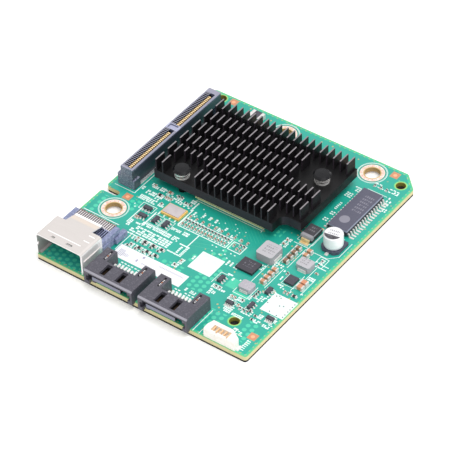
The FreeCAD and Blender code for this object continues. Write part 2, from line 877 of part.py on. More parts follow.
# ---- SATA plugs ------------------------------------------------------------
def makeSataHousing(left):
    right = left + sata_width
    cavity_back = sata_floor - sata_back_wall
    cavity_depth = cavity_back - sata_front
    body = plate([
        (left, sata_front, 0), (right, sata_front, 0), (right, sata_ear_end, 0),
        (right - sata_ear_width, sata_ear_end, 0), (right - sata_ear_width, sata_floor, 0),
        (left + sata_ear_width, sata_floor, 0), (left + sata_ear_width, sata_ear_end, 0),
        (left, sata_ear_end, 0),
    ], -sata_drop, sata_height + sata_drop)
    under_board = block(left, 0, -sata_drop, sata_width, sata_ear_end, sata_drop)
    cavity = block(left + sata_wall, sata_front, -sata_drop, sata_width - 2 * sata_wall,
                   cavity_depth, sata_height - sata_roof + sata_drop)
    step = block(left + sata_side_step, sata_front, sata_side_step_low, sata_width - 2 * sata_side_step,
                 cavity_depth, sata_side_step_height)
    lip = profileX([
        (sata_front, sata_height), (sata_front, sata_height - sata_lip), (sata_front + sata_lip, sata_height),
    ], left, sata_width)
    windows = [block(left + offset, sata_window_front, sata_height - sata_roof, sata_window_width,
                     sata_window_length, sata_roof)
               for offset in sata_window_offsets]
    slots = [block(left + offset - lock_slot_width / 2, lock_slot_front, 0, lock_slot_width,
                   lock_slot_length, sata_height)
             for offset in lock_offsets]
    body = body.cut(group([under_board, cavity, step, lip] + windows + slots))
    tongue = block(left + tongue_start, tongue_front, tongue_rise, tongue_width,
                   cavity_back - tongue_front, tongue_thickness)
    key = block(left + tongue_start, tongue_front, tongue_rise - key_drop, key_width,
                cavity_back - tongue_front, key_drop)
    return joined([body, tongue, key])


def makeSataContacts():
    cavity_back = sata_floor - sata_back_wall
    room = tongue_width - key_width - (sata_contacts - 1) * sata_contact_pitch
    pad_front = tongue_front + sata_contact_setback
    drop_start = sata_floor + sata_tail_run
    drop_end = drop_start + sata_tail_drop
    sheet = sata_tail_sheet
    tail = [
        (sata_floor, sata_tail_height), (drop_start, sata_tail_height), (drop_end, 0),
        (drop_end + sata_tail_foot, 0), (drop_end + sata_tail_foot, sheet), (drop_end + sheet, sheet),
        (drop_start + sheet, sata_tail_height + sheet), (sata_floor, sata_tail_height + sheet),
    ]
    rows = []
    for plug in range(2):
        first = sata_left + plug * sata_pitch + tongue_start + key_width + room / 2
        for index in range(sata_contacts):
            x = first + index * sata_contact_pitch - sata_contact_width / 2
            rows.append(block(x, pad_front, tongue_rise + tongue_thickness, sata_contact_width,
                              cavity_back - pad_front, sata_contact_sheet))
            rows.append(profileX(tail, x, sata_contact_width))
    return group(rows)


def makeSataLocks():
    pins = []
    front = lock_slot_front + lock_pin_margin
    length = lock_slot_length - 2 * lock_pin_margin
    for plug in range(2):
        for offset in lock_offsets:
            x = sata_left + plug * sata_pitch + offset - lock_pin_width / 2
            pins.append(block(x, front, 0, lock_pin_width, length, sata_height - lock_pin_drop))
    return group(pins)


# ---- header ----------------------------------------------------------------
def makeHeaderHousing():
    left = header_left
    right = left + header_width
    back = header_front + header_depth
    top = header_height
    body = plate([
        (left, header_front, 0), (right, header_front, 0), (right, back - header_taper_depth, 0),
        (right - header_right_taper, back, 0), (left + header_left_taper, back, 0),
        (left, back - header_taper_depth, 0),
    ], 0, top)
    edge = profileX([
        (header_front, top - header_chamfer), (header_front + header_chamfer, top), (header_front, top),
    ], left, header_width)
    window_width = (header_pins - 1) * header_pitch + 2 * header_window_end
    window = block(left + header_first_pin - header_window_end, header_front + header_window_front,
                   top - header_window_depth, window_width, header_window_length, header_window_depth)
    cuts = [edge, window]
    for offset in header_notch_offsets:
        cuts.append(block(left + offset, header_front, top - header_notch_depth, header_notch_width,
                          header_window_front, header_notch_depth))
        cuts.append(block(left + offset, header_front, 0, header_groove_width, header_groove_depth, top))
    return body.cut(group(cuts))


def makeHeader():
    nodes["header_housing"] = makeHeaderHousing()
    window_back = header_front + header_window_front + header_window_length
    back = header_front + header_depth
    pin_bottom = header_height - header_pin_drop - header_pin_size
    pins = []
    for index in range(header_pins):
        x = header_left + header_first_pin + index * header_pitch - header_pin_size / 2
        pins.append(block(x, window_back - header_pin_reach, pin_bottom,
                          header_pin_size, header_pin_reach, header_pin_size))
        pins.append(block(x, back, 0, header_pin_size, header_tail_length, header_tail_sheet))
    nodes["header_pins"] = group(pins)
    tabs = []
    for x in (header_left - header_tab_width, header_left + header_width):
        tabs.append(block(x, header_front + header_tab_front, 0, header_tab_width, header_tab_length,
                          header_tab_sheet))
    nodes["header_solder_tabs"] = group(tabs)


# ---- memory chip -----------------------------------------------------------
def makeMemoryChip():
    waist = (memory_height - memory_standoff) / 2
    nodes["memory_chip_body"] = mouldedBody(
        memory_left, memory_front, memory_standoff, memory_width, memory_depth,
        memory_height - memory_standoff, waist, memory_draft)
    leads = []
    exit_height = memory_standoff + waist
    margin = (memory_depth - (memory_leads_a_side - 1) * memory_pitch) / 2
    for index in range(memory_leads_a_side):
        y = memory_front + margin + index * memory_pitch
        leads.append(chipLead(memory_left, y, "-x", memory_lead_width, exit_height,
                              memory_lead_reach, lead_sheet))
        leads.append(chipLead(memory_left + memory_width, y, "+x", memory_lead_width, exit_height,
                              memory_lead_reach, lead_sheet))
    nodes["memory_chip_leads"] = group(leads)


# ---- capacitor -------------------------------------------------------------
def makeCapacitor():
    x, y = can_centre
    half = can_base_size / 2
    nodes["capacitor_base"] = plate([
        (x - half + can_base_chamfer, y - half, 0), (x + half - can_base_chamfer, y - half, 0),
        (x + half, y - half + can_base_chamfer, 0), (x + half, y + half, 0),
        (x - half, y + half, 0), (x - half, y - half + can_base_chamfer, 0),
    ], 0, can_base_height)
    neck = can_radius - can_neck
    nodes["capacitor_can"] = turned(x, y, [
        (0, can_base_height), (neck, can_base_height), (can_radius, can_base_height + can_neck_height),
        (can_radius, can_top - can_edge), (can_radius - can_edge, can_top), (0, can_top),
    ])
    nodes["capacitor_terminals"] = group([
        block(x - can_tab_width / 2, front, 0, can_tab_width, can_tab_reach, can_tab_sheet)
        for front in (y - half - can_tab_reach, y + half)
    ])


# ---- diode -----------------------------------------------------------------
def makeDiode():
    waist = diode_height / 2
    nodes["diode_body"] = mouldedBody(
        diode_left, diode_front, 0, diode_width, diode_length, diode_height, waist, diode_draft)
    middle = diode_left + diode_width / 2
    tabs = [chipLead(middle, diode_front, "-y", diode_tab_width, waist, diode_tab_reach, lead_sheet),
            chipLead(middle, diode_front + diode_length, "+y", diode_tab_width, waist,
                     diode_tab_reach, lead_sheet)]
    nodes["diode_terminals"] = group(tabs)


# ---- inductors, chips, oscillator ------------------------------------------
def makeInductors():
    tabs = []
    for name, (x, y, width, depth, height, along_x) in inductors.items():
        edge = inductor_edge
        nodes["inductor_" + name] = plate([
            (x + edge, y, 0), (x + width - edge, y, 0), (x + width, y + edge, 0),
            (x + width, y + depth - edge, 0), (x + width - edge, y + depth, 0), (x + edge, y + depth, 0),
            (x, y + depth - edge, 0), (x, y + edge, 0),
        ], 0, height)
        rise = height * terminal_rise
        if along_x:
            margin = depth * terminal_margin
            for side in (x - terminal_sheet, x + width):
                tabs.append(block(side, y + margin, 0, terminal_sheet, depth - 2 * margin, rise))
        else:
            margin = width * terminal_margin
            for side in (y - terminal_sheet, y + depth):
                tabs.append(block(x + margin, side, 0, width - 2 * margin, terminal_sheet, rise))
    nodes["inductor_terminals"] = group(tabs)


def makeFlatChips():
    for name, (x, y, width, depth, height) in flat_chips.items():
        nodes["regulator_" + name] = block(x, y, 0, width, depth, height)


def makeSmallChips():
    bodies = []
    leads = []
    waist = small_chip_height / 2
    for x, y, width, depth, count, side in small_chips:
        bodies.append(mouldedBody(x - width / 2, y - depth / 2, 0, width, depth,
                                  small_chip_height, waist, small_chip_draft))
        along = width if side == "y" else depth
        pitch = (along - 2 * small_lead_margin) / (count - 1)
        for index in range(count):
            offset = small_lead_margin - along / 2 + index * pitch
            for sign, name in ((-1, "-"), (1, "+")):
                lead_x = x + offset if side == "y" else x + sign * width / 2
                lead_y = y + sign * depth / 2 if side == "y" else y + offset
                leads.append(chipLead(lead_x, lead_y, name + side, small_lead_width,
                                      waist, small_lead_reach, small_lead_sheet))
    nodes["small_chip_bodies"] = group(bodies)
    nodes["small_chip_leads"] = group(leads)


def makeOscillator():
    nodes["oscillator_base"] = block(oscillator_left, oscillator_front, 0, oscillator_width,
                                     oscillator_depth, oscillator_base_height)
    x = oscillator_left + oscillator_lid_margin
    y = oscillator_front + oscillator_lid_margin
    width = oscillator_width - 2 * oscillator_lid_margin
    depth = oscillator_depth - 2 * oscillator_lid_margin
    nodes["oscillator_lid"] = block(x, y, oscillator_base_height, width, depth, oscillator_lid_height)


# ---- chip components -------------------------------------------------------
def chipComponent(kind, x, y, along_y):
    length, width, height, cap = chip_sizes[kind]
    lip = chip_cap_lip
    body_length = length - 2 * cap
    if along_y:
        body = block(x - width / 2, y - body_length / 2, lip, width, body_length, height - 2 * lip)
        ends = [block(x - width / 2, y - length / 2, 0, width, cap, height),
                block(x - width / 2, y + length / 2 - cap, 0, width, cap, height)]
    else:
        body = block(x - body_length / 2, y - width / 2, lip, body_length, width, height - 2 * lip)
        ends = [block(x - length / 2, y - width / 2, 0, cap, width, height),
                block(x + length / 2 - cap, y - width / 2, 0, cap, width, height)]
    return body, ends


def makeChipComponents():
    ends = []
    for name, spots in (("tan", tan_spots), ("brown", brown_spots), ("orange", orange_spots)):
        bodies = []
        for x, y, along_y in spots:
            body, caps = chipComponent(name, x, y, along_y)
            bodies.append(body)
            ends += caps
        nodes["power_capacitors_" + name] = group(bodies)
    nodes["power_capacitor_ends"] = group(ends)
    small_ends = []
    for name, rows in (("small_capacitors", capacitor_rows), ("small_resistors", resistor_rows)):
        bodies = []
        for x, y, count, step_x, step_y, along_y in rows:
            for index in range(count):
                body, caps = chipComponent("small", x + index * step_x, y + index * step_y, along_y)
                bodies.append(body)
                small_ends += caps
        nodes[name] = group(bodies)
    nodes["small_component_ends"] = group(small_ends)


def makeRearChip():
    x, y, width, depth, height = rear_chip
    nodes["rear_chip_body"] = block(x + rear_chip_cap, y, 0, width - 2 * rear_chip_cap, depth, height)
    nodes["rear_chip_ends"] = group([block(x, y, 0, rear_chip_cap, depth, height),
                                     block(x + width - rear_chip_cap, y, 0, rear_chip_cap, depth, height)])


def makeAll():
    nodes["circuit_board"] = makeBoard()
    nodes["insulator_sheet"] = makeSheet()
    nodes["heat_sink"] = makeHeatSink()
    for name, spot in zip(("left", "right"), pin_spots):
        nodes["push_pin_" + name] = makePushPin(*spot)
        nodes["pin_spring_" + name] = makePinSpring(*spot)
    makeController()
    makeMezzanine()
    nodes["sas_cage"] = makeSasCage()
    nodes["sas_body"] = makeSasBody()
    nodes["sas_contacts"] = makeSasContacts()
    nodes["sata_housing_left"] = makeSataHousing(sata_left)
    nodes["sata_housing_right"] = makeSataHousing(sata_left + sata_pitch)
    nodes["sata_contacts"] = makeSataContacts()
    nodes["sata_board_locks"] = makeSataLocks()
    makeHeader()
    makeMemoryChip()
    makeCapacitor()
    makeDiode()
    makeInductors()
    makeFlatChips()
    makeSmallChips()
    makeOscillator()
    makeChipComponents()
    makeRearChip()
    nodes["blank_label"] = block(label_left, label_front, 0, label_width, label_depth, label_thickness)


def exportAll():
    os.makedirs("parts", exist_ok=True)
    shift = FreeCAD.Vector(-board_width / 2, -(board_depth + sata_front) / 2,
                           board_thickness + sheet_thickness)
    for name, shape in nodes.items():
        moved = shape.copy()
        moved.translate(shift)
        moved.exportStep("parts/" + name + ".step")
        print(name, moved.isValid(), len(moved.Solids), round(moved.Volume, 2))


makeAll()
exportAll()
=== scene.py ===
import math
import bmesh
import bpy
from mathutils import Matrix, Vector


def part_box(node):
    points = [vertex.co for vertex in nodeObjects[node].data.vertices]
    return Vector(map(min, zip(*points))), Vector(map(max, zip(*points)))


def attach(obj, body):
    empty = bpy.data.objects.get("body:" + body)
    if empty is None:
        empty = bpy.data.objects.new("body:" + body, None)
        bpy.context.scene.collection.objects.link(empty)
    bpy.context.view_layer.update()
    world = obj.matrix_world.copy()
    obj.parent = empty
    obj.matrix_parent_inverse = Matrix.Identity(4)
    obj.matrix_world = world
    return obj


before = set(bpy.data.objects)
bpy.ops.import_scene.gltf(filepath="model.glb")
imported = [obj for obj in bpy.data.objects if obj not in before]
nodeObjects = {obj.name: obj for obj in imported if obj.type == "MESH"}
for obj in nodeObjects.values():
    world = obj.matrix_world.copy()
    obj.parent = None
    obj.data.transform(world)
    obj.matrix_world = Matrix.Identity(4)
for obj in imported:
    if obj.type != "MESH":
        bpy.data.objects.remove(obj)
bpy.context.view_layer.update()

boardLow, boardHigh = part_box("circuit_board")
mm = 0.001
print("frame loaded")


# board plan: millimetres from the board's front left corner, heights above its top face
def plan(x, y, z=0.0):
    return Vector((boardLow.x + x * mm, boardLow.y + y * mm, boardHigh.z + z * mm))


# both corners of a node on that plan
def corners(node):
    return [(corner - plan(0, 0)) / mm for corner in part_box(node)]


# a colour of 0 to 255 as the shader takes it
def tone(red, green, blue):
    channels = []
    for value in (red, green, blue):
        part = value / 255
        channels.append(part / 12.92 if part <= 0.04045 else ((part + 0.055) / 1.055) ** 2.4)
    return (*channels, 1.0)


# makes an operator of Wire, which adds a Math node
def mathNode(operation, flipped=False):
    def run(wire, *others):
        given = (*others, wire) if flipped else (wire, *others)
        return addNode(wire.tree, "ShaderNodeMath", {"operation": operation}, given=given)
    return run


# a socket that takes part in sums
class Wire:
    def __init__(self, tree, socket):
        self.tree = tree
        self.socket = socket

    __add__ = __radd__ = mathNode("ADD")
    __sub__ = mathNode("SUBTRACT")
    __rsub__ = mathNode("SUBTRACT", flipped=True)
    __mul__ = __rmul__ = mathNode("MULTIPLY")
    __truediv__ = mathNode("DIVIDE")
    __rtruediv__ = mathNode("DIVIDE", flipped=True)
    __pow__ = mathNode("POWER")
    __abs__ = mathNode("ABSOLUTE")
    least = mathNode("MINIMUM")
    most = mathNode("MAXIMUM")
    wrap = mathNode("FLOORED_MODULO")
    floor = mathNode("FLOOR")
    root = mathNode("SQRT")
    angle = mathNode("ARCTAN2")

    def __neg__(self):
        return self * -1.0

    # held between 0 and 1
    def held(self):
        settings = {"operation": "ADD", "use_clamp": True}
        return addNode(self.tree, "ShaderNodeMath", settings, given=(self, 0.0))

    # all outputs of the same node
    def fan(self):
        return [Wire(self.tree, socket) for socket in self.socket.node.outputs if socket.enabled]

    # 1 below the edge and 0 above it, over a soft width
    def below(self, edge, soft=0.1):
        return ((edge + soft / 2 - self) / soft).held()

    def above(self, edge, soft=0.1):
        return ((self - edge + soft / 2) / soft).held()

    def between(self, low, high, soft=0.1):
        return self.above(low, soft) * self.below(high, soft)


def plug(tree, socket, value):
    if isinstance(value, Wire):
        tree.links.new(value.socket, socket)
    else:
        socket.default_value = value


# makes any node: its settings first, then its sockets, in order as given or by name
def addNode(tree, kind, settings=None, output=None, given=(), **named):
    made = tree.nodes.new(kind)
    for name, value in (settings or {}).items():
        setattr(made, name, value)
    inputs = [socket for socket in made.inputs if socket.enabled]
    for socket, value in zip(inputs, given):
        plug(tree, socket, value)
    for name, value in named.items():
        plug(tree, next(s for s in inputs if s.name == name.replace("_", " ")), value)
    found = [s for s in made.outputs if s.enabled and output in (None, s.name)]
    return Wire(tree, found[0]) if found else None


# a material laid up colour over colour, each colour 0 to 255 or a wire
class Finish:
    def __init__(self, name, colour=None):
        self.material = bpy.data.materials.new(name)
        self.material.use_nodes = True
        self.tree = self.material.node_tree
        self.surface = self.tree.nodes["Principled BSDF"]
        self.colour = colour

    def node(self, kind, settings=None, **sockets):
        return addNode(self.tree, "ShaderNode" + kind, settings, **sockets)

    def place(self):
        return self.node("TexCoord", output="Object")

    # object coordinates in millimetres, measured from a point in metres
    def axes(self, origin=plan(0, 0)):
        shifted = self.node("VectorMath", {"operation": "SUBTRACT"}, given=(self.place(), origin))
        return [axis / mm for axis in self.node("SeparateXYZ", Vector=shifted).fan()]

    def facing(self):
        return self.node("SeparateXYZ", Vector=self.node("NewGeometry", output="Normal")).fan()

    def noise(self, scale, detail=2.0):
        return self.node("TexNoise", Vector=self.place(), Scale=scale, Detail=detail)

    # noise drawn out along an axis, as on brushed metal
    def streaks(self, *scales):
        stretched = self.node("Mapping", Vector=self.place(), Scale=scales)
        return self.node("TexNoise", Vector=stretched, Scale=1.0)

    def blend(self, mask, first, second):
        pair = [part if isinstance(part, Wire) else tone(*part) for part in (first, second)]
        return self.node("Mix", {"data_type": "RGBA"}, given=(mask, *pair))

    # one more colour over the rest, where the mask is 1
    def lay(self, mask, colour):
        self.colour = self.blend(mask, self.colour, colour)

    def bump(self, height, strength, distance=0.00002):
        return self.node("Bump", Height=height, Strength=strength, Distance=distance)

    # sets the shader's sockets and gives back the material
    def shine(self, **values):
        for name, value in {"Base_Color": self.colour, **values}.items():
            plug(self.tree, self.surface.inputs[name.replace("_", " ")], value)
        return self.material


# one material on a whole mesh
def dress(mesh, material):
    mesh.materials.clear()
    mesh.materials.append(material)
    mesh.polygons.foreach_set("material_index", [0] * len(mesh.polygons))


def paint(node, material):
    dress(nodeObjects[node].data, material)


# camera: degrees, metres, and the point it looks at on the board plan
view = {
    "azimuth": 38.103, "elevation": 42.273, "roll": -2.512, "distance": 0.74487,
    "lens": 191.8, "sensor": 36, "far": 20, "target": (42.27, 43.008),
}


def makeCamera():
    azimuth, elevation, roll = [math.radians(view[name]) for name in ("azimuth", "elevation", "roll")]
    back = Vector((math.sin(azimuth) * math.cos(elevation),
                   -math.cos(azimuth) * math.cos(elevation), math.sin(elevation)))
    right = Vector((math.cos(azimuth), math.sin(azimuth), 0))
    up = back.cross(right)
    turnedRight = right * math.cos(roll) + up * math.sin(roll)
    turnedUp = -right * math.sin(roll) + up * math.cos(roll)
    data = bpy.data.cameras.new("productCamera")
    data.lens = view["lens"]
    data.sensor_width = view["sensor"]
    data.clip_end = view["far"]
    camera = bpy.data.objects.new("productCamera", data)
    bpy.context.collection.objects.link(camera)
    placed = Matrix((turnedRight, turnedUp, back)).transposed().to_4x4()
    placed.translation = plan(*view["target"]) + back * view["distance"]
    camera.matrix_world = placed
    bpy.context.scene.camera = camera


# light and floor; each lamp has a place, a size and a power
studio = {
    "world": 0.66, "floor": (252, 252, 252), "floorGlow": 0.16, "floorHalf": 1.5,
    "lamps": {"keyLight": ((0.22, 0.12, 0.85), 0.7, 5.2), "fillLight": ((0.7, -0.5, 0.45), 0.9, 2.4)},
}


def addLamp(name, place, size, power):
    data = bpy.data.lights.new(name, "AREA")
    data.size = size
    data.energy = power
    lamp = bpy.data.objects.new(name, data)
    bpy.context.collection.objects.link(lamp)
    lamp.location = place
    lamp.rotation_euler = (-Vector(place)).to_track_quat("-Z", "Y").to_euler()


def makeStage():
    world = bpy.data.worlds.new("studio")
    bpy.context.scene.world = world
    world.use_nodes = True
    tree = world.node_tree
    camera, glossy, through = [addNode(tree, "ShaderNodeLightPath", output=f"Is {kind} Ray")
                               for kind in ("Camera", "Glossy", "Transmission")]
    seen = camera.most(glossy).most(through)
    background = tree.nodes["Background"]
    plug(tree, background.inputs["Strength"], studio["world"] + seen * (1 - studio["world"]))
    plug(tree, background.inputs["Color"], (1, 1, 1, 1))
    for name, settings in studio["lamps"].items():
        addLamp(name, *settings)
    half = studio["floorHalf"]
    mesh = bpy.data.meshes.new("floor")
    mesh.from_pydata([(-half, -half, 0), (half, -half, 0), (half, half, 0), (-half, half, 0)],
                     [], [(0, 1, 2, 3)])
    floor = bpy.data.objects.new("floor", mesh)
    bpy.context.collection.objects.link(floor)
    finish = Finish("floorPaper")
    glow = finish.blend(finish.node("LightPath", output="Is Camera Ray"), (0, 0, 0), (255, 255, 255))
    mesh.materials.append(finish.shine(Base_Color=tone(*studio["floor"]), Roughness=0.9,
                                       Emission_Strength=studio["floorGlow"], Emission_Color=glow))


# board: mask, copper, rings and edge
boardLook = {
    "mask": (34, 180, 160), "deep": (18, 148, 130), "dot": (78, 210, 172), "trace": (96, 206, 160),
    "strip": (52, 196, 150), "rim": (124, 198, 128), "via": (196, 176, 120), "blank": (84, 220, 178),
    "edge": (222, 211, 164), "edgeDark": (198, 186, 132), "edgeTop": (120, 196, 128), "clothPitch": 0.32,
    "size": (81.55, 95.06), "cornerCut": 5.35, "stripWidth": 0.95, "rimWidth": 0.32,
    "viaPitch": 1.9, "viaInset": 0.72, "viaRadius": 0.2,
    "dotOrigin": (53.4, 19.3), "dotPitch": (2.09, 2.03), "dotRadius": 0.74,
    # where the copper dots stay in the open: left, front, right, back
    "dotAreas": [
        (35.6, 17.6, 39.9, 20.2), (41.9, 16.8, 44, 20.4), (41.9, 23.2, 44, 27.6), (48.2, 14.2, 54.5, 21.3),
        (52.4, 21.3, 54.5, 26.3), (48.3, 30.6, 50.4, 40.8), (46.1, 29.4, 52.5, 31.6),
        (57.3, 47.6, 59.6, 51.5), (61, 3.6, 67, 11.2), (73.3, 4.4, 79.8, 10), (73.3, 10, 77.6, 13.1),
        (2.4, 0.8, 19.6, 12), (10.7, 31.2, 14.8, 37), (2.1, 24.8, 4.3, 33.2), (64, 85.5, 66.2, 91),
        (77, 88, 79.2, 92),
    ],
    # fine tracks: slope, pitch, area
    "tracks": [(0.82, 1.25, (33, 41.5, 56, 47)), (-0.35, 1.7, (36.5, 29.5, 56, 34.5))],
    # light fields round the inductor feet and under the chips
    "blanks": [(58.2, 21.2, 62.0, 25.4), (62.2, 19.6, 67.6, 21.2), (66.0, 27.4, 69.0, 27.9)],
    "mountHoles": [(8.73, 29.64), (66.34, 89.21), (32.3, 89.21)],
    "plainHoles": [(69.8, 10.4), (77.2, 89.1), (4.6, 92.4)],
    # radius, softness and colour of the rings at a plain hole
    "plainRings": [(2.15, 0.3, (122, 214, 128)), (1.78, 0.08, (196, 190, 96))],
    # radius and colour of the hole walls
    "holeWalls": {"mountHoles": (2.8, (176, 146, 92)), "plainHoles": (1.8, (146, 142, 62))},
    "fiducials": [(9.0, 36.4), (73.0, 92.3), (78.2, 8.2), (9.0, 93.0)],
    "fiducialHalf": 1.4, "fiducialDot": 0.62, "copper": (206, 142, 106), "copperPale": (250, 180, 138),
}
# mounting hole: tinned ring with solder beads, printed circles
ringLook = {
    "edge": 4.05, "shade": 4.5, "bore": 2.95, "beads": 16, "beadRun": 3.3, "beadRadius": 0.14,
    "circles": [(4.55, 4.68), (4.82, 4.96)], "tin": (250, 232, 222), "tinWarm": (238, 188, 170),
    "bead": (212, 96, 92), "copper": (206, 176, 116), "ink": (236, 250, 246),
}


def distance(dx, dy):
    return (dx * dx + dy * dy).root()


def reach(x, y, spot):
    return distance(x - spot[0], y - spot[1])


# 1 inside a box of left, front, right, back
def inside(x, y, box, soft=0.05):
    return x.between(box[0], box[2], soft) * y.between(box[1], box[3], soft)


# staggered copper dots below the mask, in their areas only
def copperDots(x, y):
    look = boardLook
    pitchX, pitchY = look["dotPitch"]
    across = (x - look["dotOrigin"][0]) / pitchX + 0.5
    odd = across.floor().wrap(2)
    along = (y - look["dotOrigin"][1]) / pitchY + odd * 0.5 + 0.5
    dot = distance((across.wrap(1) - 0.5) * pitchX, (along.wrap(1) - 0.5) * pitchY)
    areas = x * 0.0
    for area in look["dotAreas"]:
        areas = areas.most(inside(x, y, area))
    return dot.below(look["dotRadius"], 0.12) * areas


# bare strip and stitching vias round the rim; gives back the vias
def rimLayers(finish, x, y):
    look = boardLook
    width, depth = look["size"]
    corner = (width + depth - look["cornerCut"] - x - y) / math.sqrt(2)
    gap = x.least(width - x).least(y.least(depth - y)).least(corner)
    finish.lay(gap.below(look["stripWidth"], 0.12) * 0.8, look["strip"])
    finish.lay(gap.below(look["rimWidth"]) * 0.8, look["rim"])
    atSides = abs(gap - x).below(0.01, 0.01) + abs(gap - (width - x)).below(0.01, 0.01)
    atSides = atSides.least(1.0)
    run = y * atSides + x * (1 - atSides)
    stitch = run.wrap(look["viaPitch"]) - look["viaPitch"] / 2
    hop = gap - look["viaInset"]
    via = (stitch * stitch * 0.35 + hop * hop).root().below(look["viaRadius"])
    finish.lay(via * 0.6, look["via"])
    return via


# tin, beads and circles round a mounting hole; gives back the tin's mask
def ringLayers(finish, x, y, spot):
    look = ringLook
    far = reach(x, y, spot)
    tin = finish.blend(finish.noise(900).between(0.5, 0.8, 0.2) * 0.75, look["tin"], look["tinWarm"])
    step = 2 * math.pi / look["beads"]
    turn = ((y - spot[1]).angle(x - spot[0]) / step).wrap(1.0) - 0.5
    bead = distance(turn * (far * step), far - look["beadRun"]).below(look["beadRadius"], 0.14)
    tin = finish.blend(bead * 0.8, tin, look["bead"])
    ring = far.below(look["edge"], 0.12)
    finish.lay(far.between(look["edge"], look["shade"], 0.15), boardLook["deep"])
    finish.lay(ring, tin)
    finish.lay(far.below(look["bore"], 0.12), look["copper"])
    inner, outer = look["circles"]
    finish.lay(far.between(*inner, 0.06) + far.between(*outer, 0.06), look["ink"])
    return ring


# pale glass cloth layers of the edge, and the walls of the holes
def edgeColour(finish, x, y, z):
    look = boardLook
    layers = abs(z.wrap(look["clothPitch"]) / look["clothPitch"] - 0.5)
    side = finish.blend(layers * 0.5 + finish.noise(700, 3) * 0.4, look["edge"], look["edgeDark"])
    side = finish.blend(z.above(-0.16), side, look["edgeTop"])
    for holes, (radius, wall) in look["holeWalls"].items():
        for spot in look[holes]:
            side = finish.blend(reach(x, y, spot).below(radius, 0.02), side, wall)
    return side


def boardFinish():
    look = boardLook
    finish = Finish("boardLaminate")
    x, y, z = finish.axes()
    patch = finish.noise(45, 3)
    finish.colour = finish.blend(patch.between(0.35, 0.75, 0.3) * 0.5, look["mask"], look["deep"])
    dots = copperDots(x, y)
    finish.lay(dots * 0.8, look["dot"])
    tracks = x * 0.0
    for slope, pitch, area in look["tracks"]:
        tracks = tracks + (x * slope + y).wrap(pitch).between(0.5, 0.66, 0.08) * inside(x, y, area)
    finish.lay(tracks.least(1.0) * finish.noise(160, 1).above(0.46, 0.06) * 0.3, look["trace"])
    # sprinkled vias
    spark = finish.node("TexVoronoi", {"feature": "F1"}, Vector=finish.place(), Scale=420.0, Randomness=1.0)
    finish.lay(spark.below(0.14, 0.03) * finish.noise(60, 1).above(0.5, 0.08) * 0.85, look["via"])
    via = rimLayers(finish, x, y)
    rough = 0.34 + patch * 0.1
    for spot in look["mountHoles"]:
        rough = rough - ringLayers(finish, x, y, spot) * 0.06
    for spot in look["plainHoles"]:
        for radius, soft, colour in look["plainRings"]:
            finish.lay(reach(x, y, spot).below(radius, soft), colour)
    half = look["fiducialHalf"]
    for spot in look["fiducials"]:
        pad = inside(x, y, (spot[0] - half, spot[1] - half, spot[0] + half, spot[1] + half), 0.15)
        dot = reach(x, y, spot).below(look["fiducialDot"], 0.2)
        finish.lay(pad, finish.blend(dot, look["copper"], look["copperPale"]))
    for area in look["blanks"]:
        finish.lay(inside(x, y, area, 0.4) * 0.6, look["blank"])
    top = abs(finish.facing()[2]).above(0.5)
    finish.colour = finish.blend(top, edgeColour(finish, x, y, z), finish.colour)
    return finish.shine(Roughness=rough + (1 - top) * 0.3, Coat_Weight=top * 0.25,
                        Normal=finish.bump(dots + via * 2 + patch * 0.3, 0.25, 0.00004))


# plain finishes: colour, second colour, roughness, metal, grain size, bump and the nodes that wear it
plainLooks = {
    "insulatorFilm": ((5, 4, 5), (14, 12, 13), 0.75, 0, 900, 0.2, "insulator_sheet"),
    "springSteel": ((252, 251, 250), (232, 229, 227), 0.18, 0.55, 500, 0.02,
                    "pin_spring_left", "pin_spring_right"),
    "packageResin": ((80, 80, 91), (62, 61, 71), 0.5, 0, 1600, 0.35,
                     "regulator_small", "small_chip_bodies", "rear_chip_body"),
    "lidResin": ((58, 57, 64), (42, 41, 47), 0.5, 0, 1200, 0.2, "controller_lid"),
    "padGrey": ((150, 150, 152), (120, 120, 124), 0.7, 0, 800, 0.2, "thermal_pad"),
    "tinnedLead": ((244, 242, 241), (220, 217, 214), 0.32, 0.15, 900, 0.15,
                   "controller_solder_balls", "header_solder_tabs", "memory_chip_leads",
                   "capacitor_terminals", "inductor_terminals", "small_chip_leads", "rear_chip_ends"),
    "canBase": ((88, 88, 108), (66, 66, 84), 0.45, 0, 1500, 0.2, "capacitor_base"),
    "tanTin": ((240, 222, 172), (214, 184, 128), 0.35, 0.2, 900, 0.2, "diode_terminals"),
    "headerPin": ((250, 214, 170), (236, 186, 134), 0.35, 0.1, 900, 0.1, "header_pins"),
    "headerResin": ((252, 251, 248), (243, 238, 228), 0.42, 0, 900, 0.05, "header_housing"),
    "ferrite": ((198, 195, 202), (172, 168, 176), 0.6, 0, 1800, 0.5, "inductor_small"),
    "oscillatorLid": ((212, 204, 205), (198, 189, 190), 0.42, 0.25, 500, 0.05, "oscillator_lid"),
    "oscillatorCeramic": ((250, 208, 122), (232, 184, 96), 0.45, 0, 700, 0.1, "oscillator_base"),
    "tanCeramic": ((214, 160, 124), (190, 136, 104), 0.5, 0, 1500, 0.2, "power_capacitors_tan"),
    "brownCeramic": ((164, 128, 104), (128, 98, 78), 0.5, 0, 1500, 0.2, "power_capacitors_brown"),
    "orangeCeramic": ((226, 160, 124), (204, 138, 104), 0.5, 0, 1500, 0.2, "power_capacitors_orange"),
    "smallCeramic": ((196, 148, 120), (150, 110, 88), 0.5, 0, 1500, 0.2, "small_capacitors"),
    "resistorBlack": ((52, 50, 52), (34, 32, 34), 0.45, 0, 1500, 0.2, "small_resistors"),
    "endSolder": ((244, 242, 240), (212, 208, 204), 0.34, 0.25, 1600, 0.3,
                  "power_capacitor_ends", "small_component_ends"),
    "printInk": ((246, 253, 251), (228, 246, 241), 0.55, 0, 1400, 0.1),
    "dotInk": ((104, 98, 106), (84, 80, 88), 0.5, 0, 900, 0.1),
}


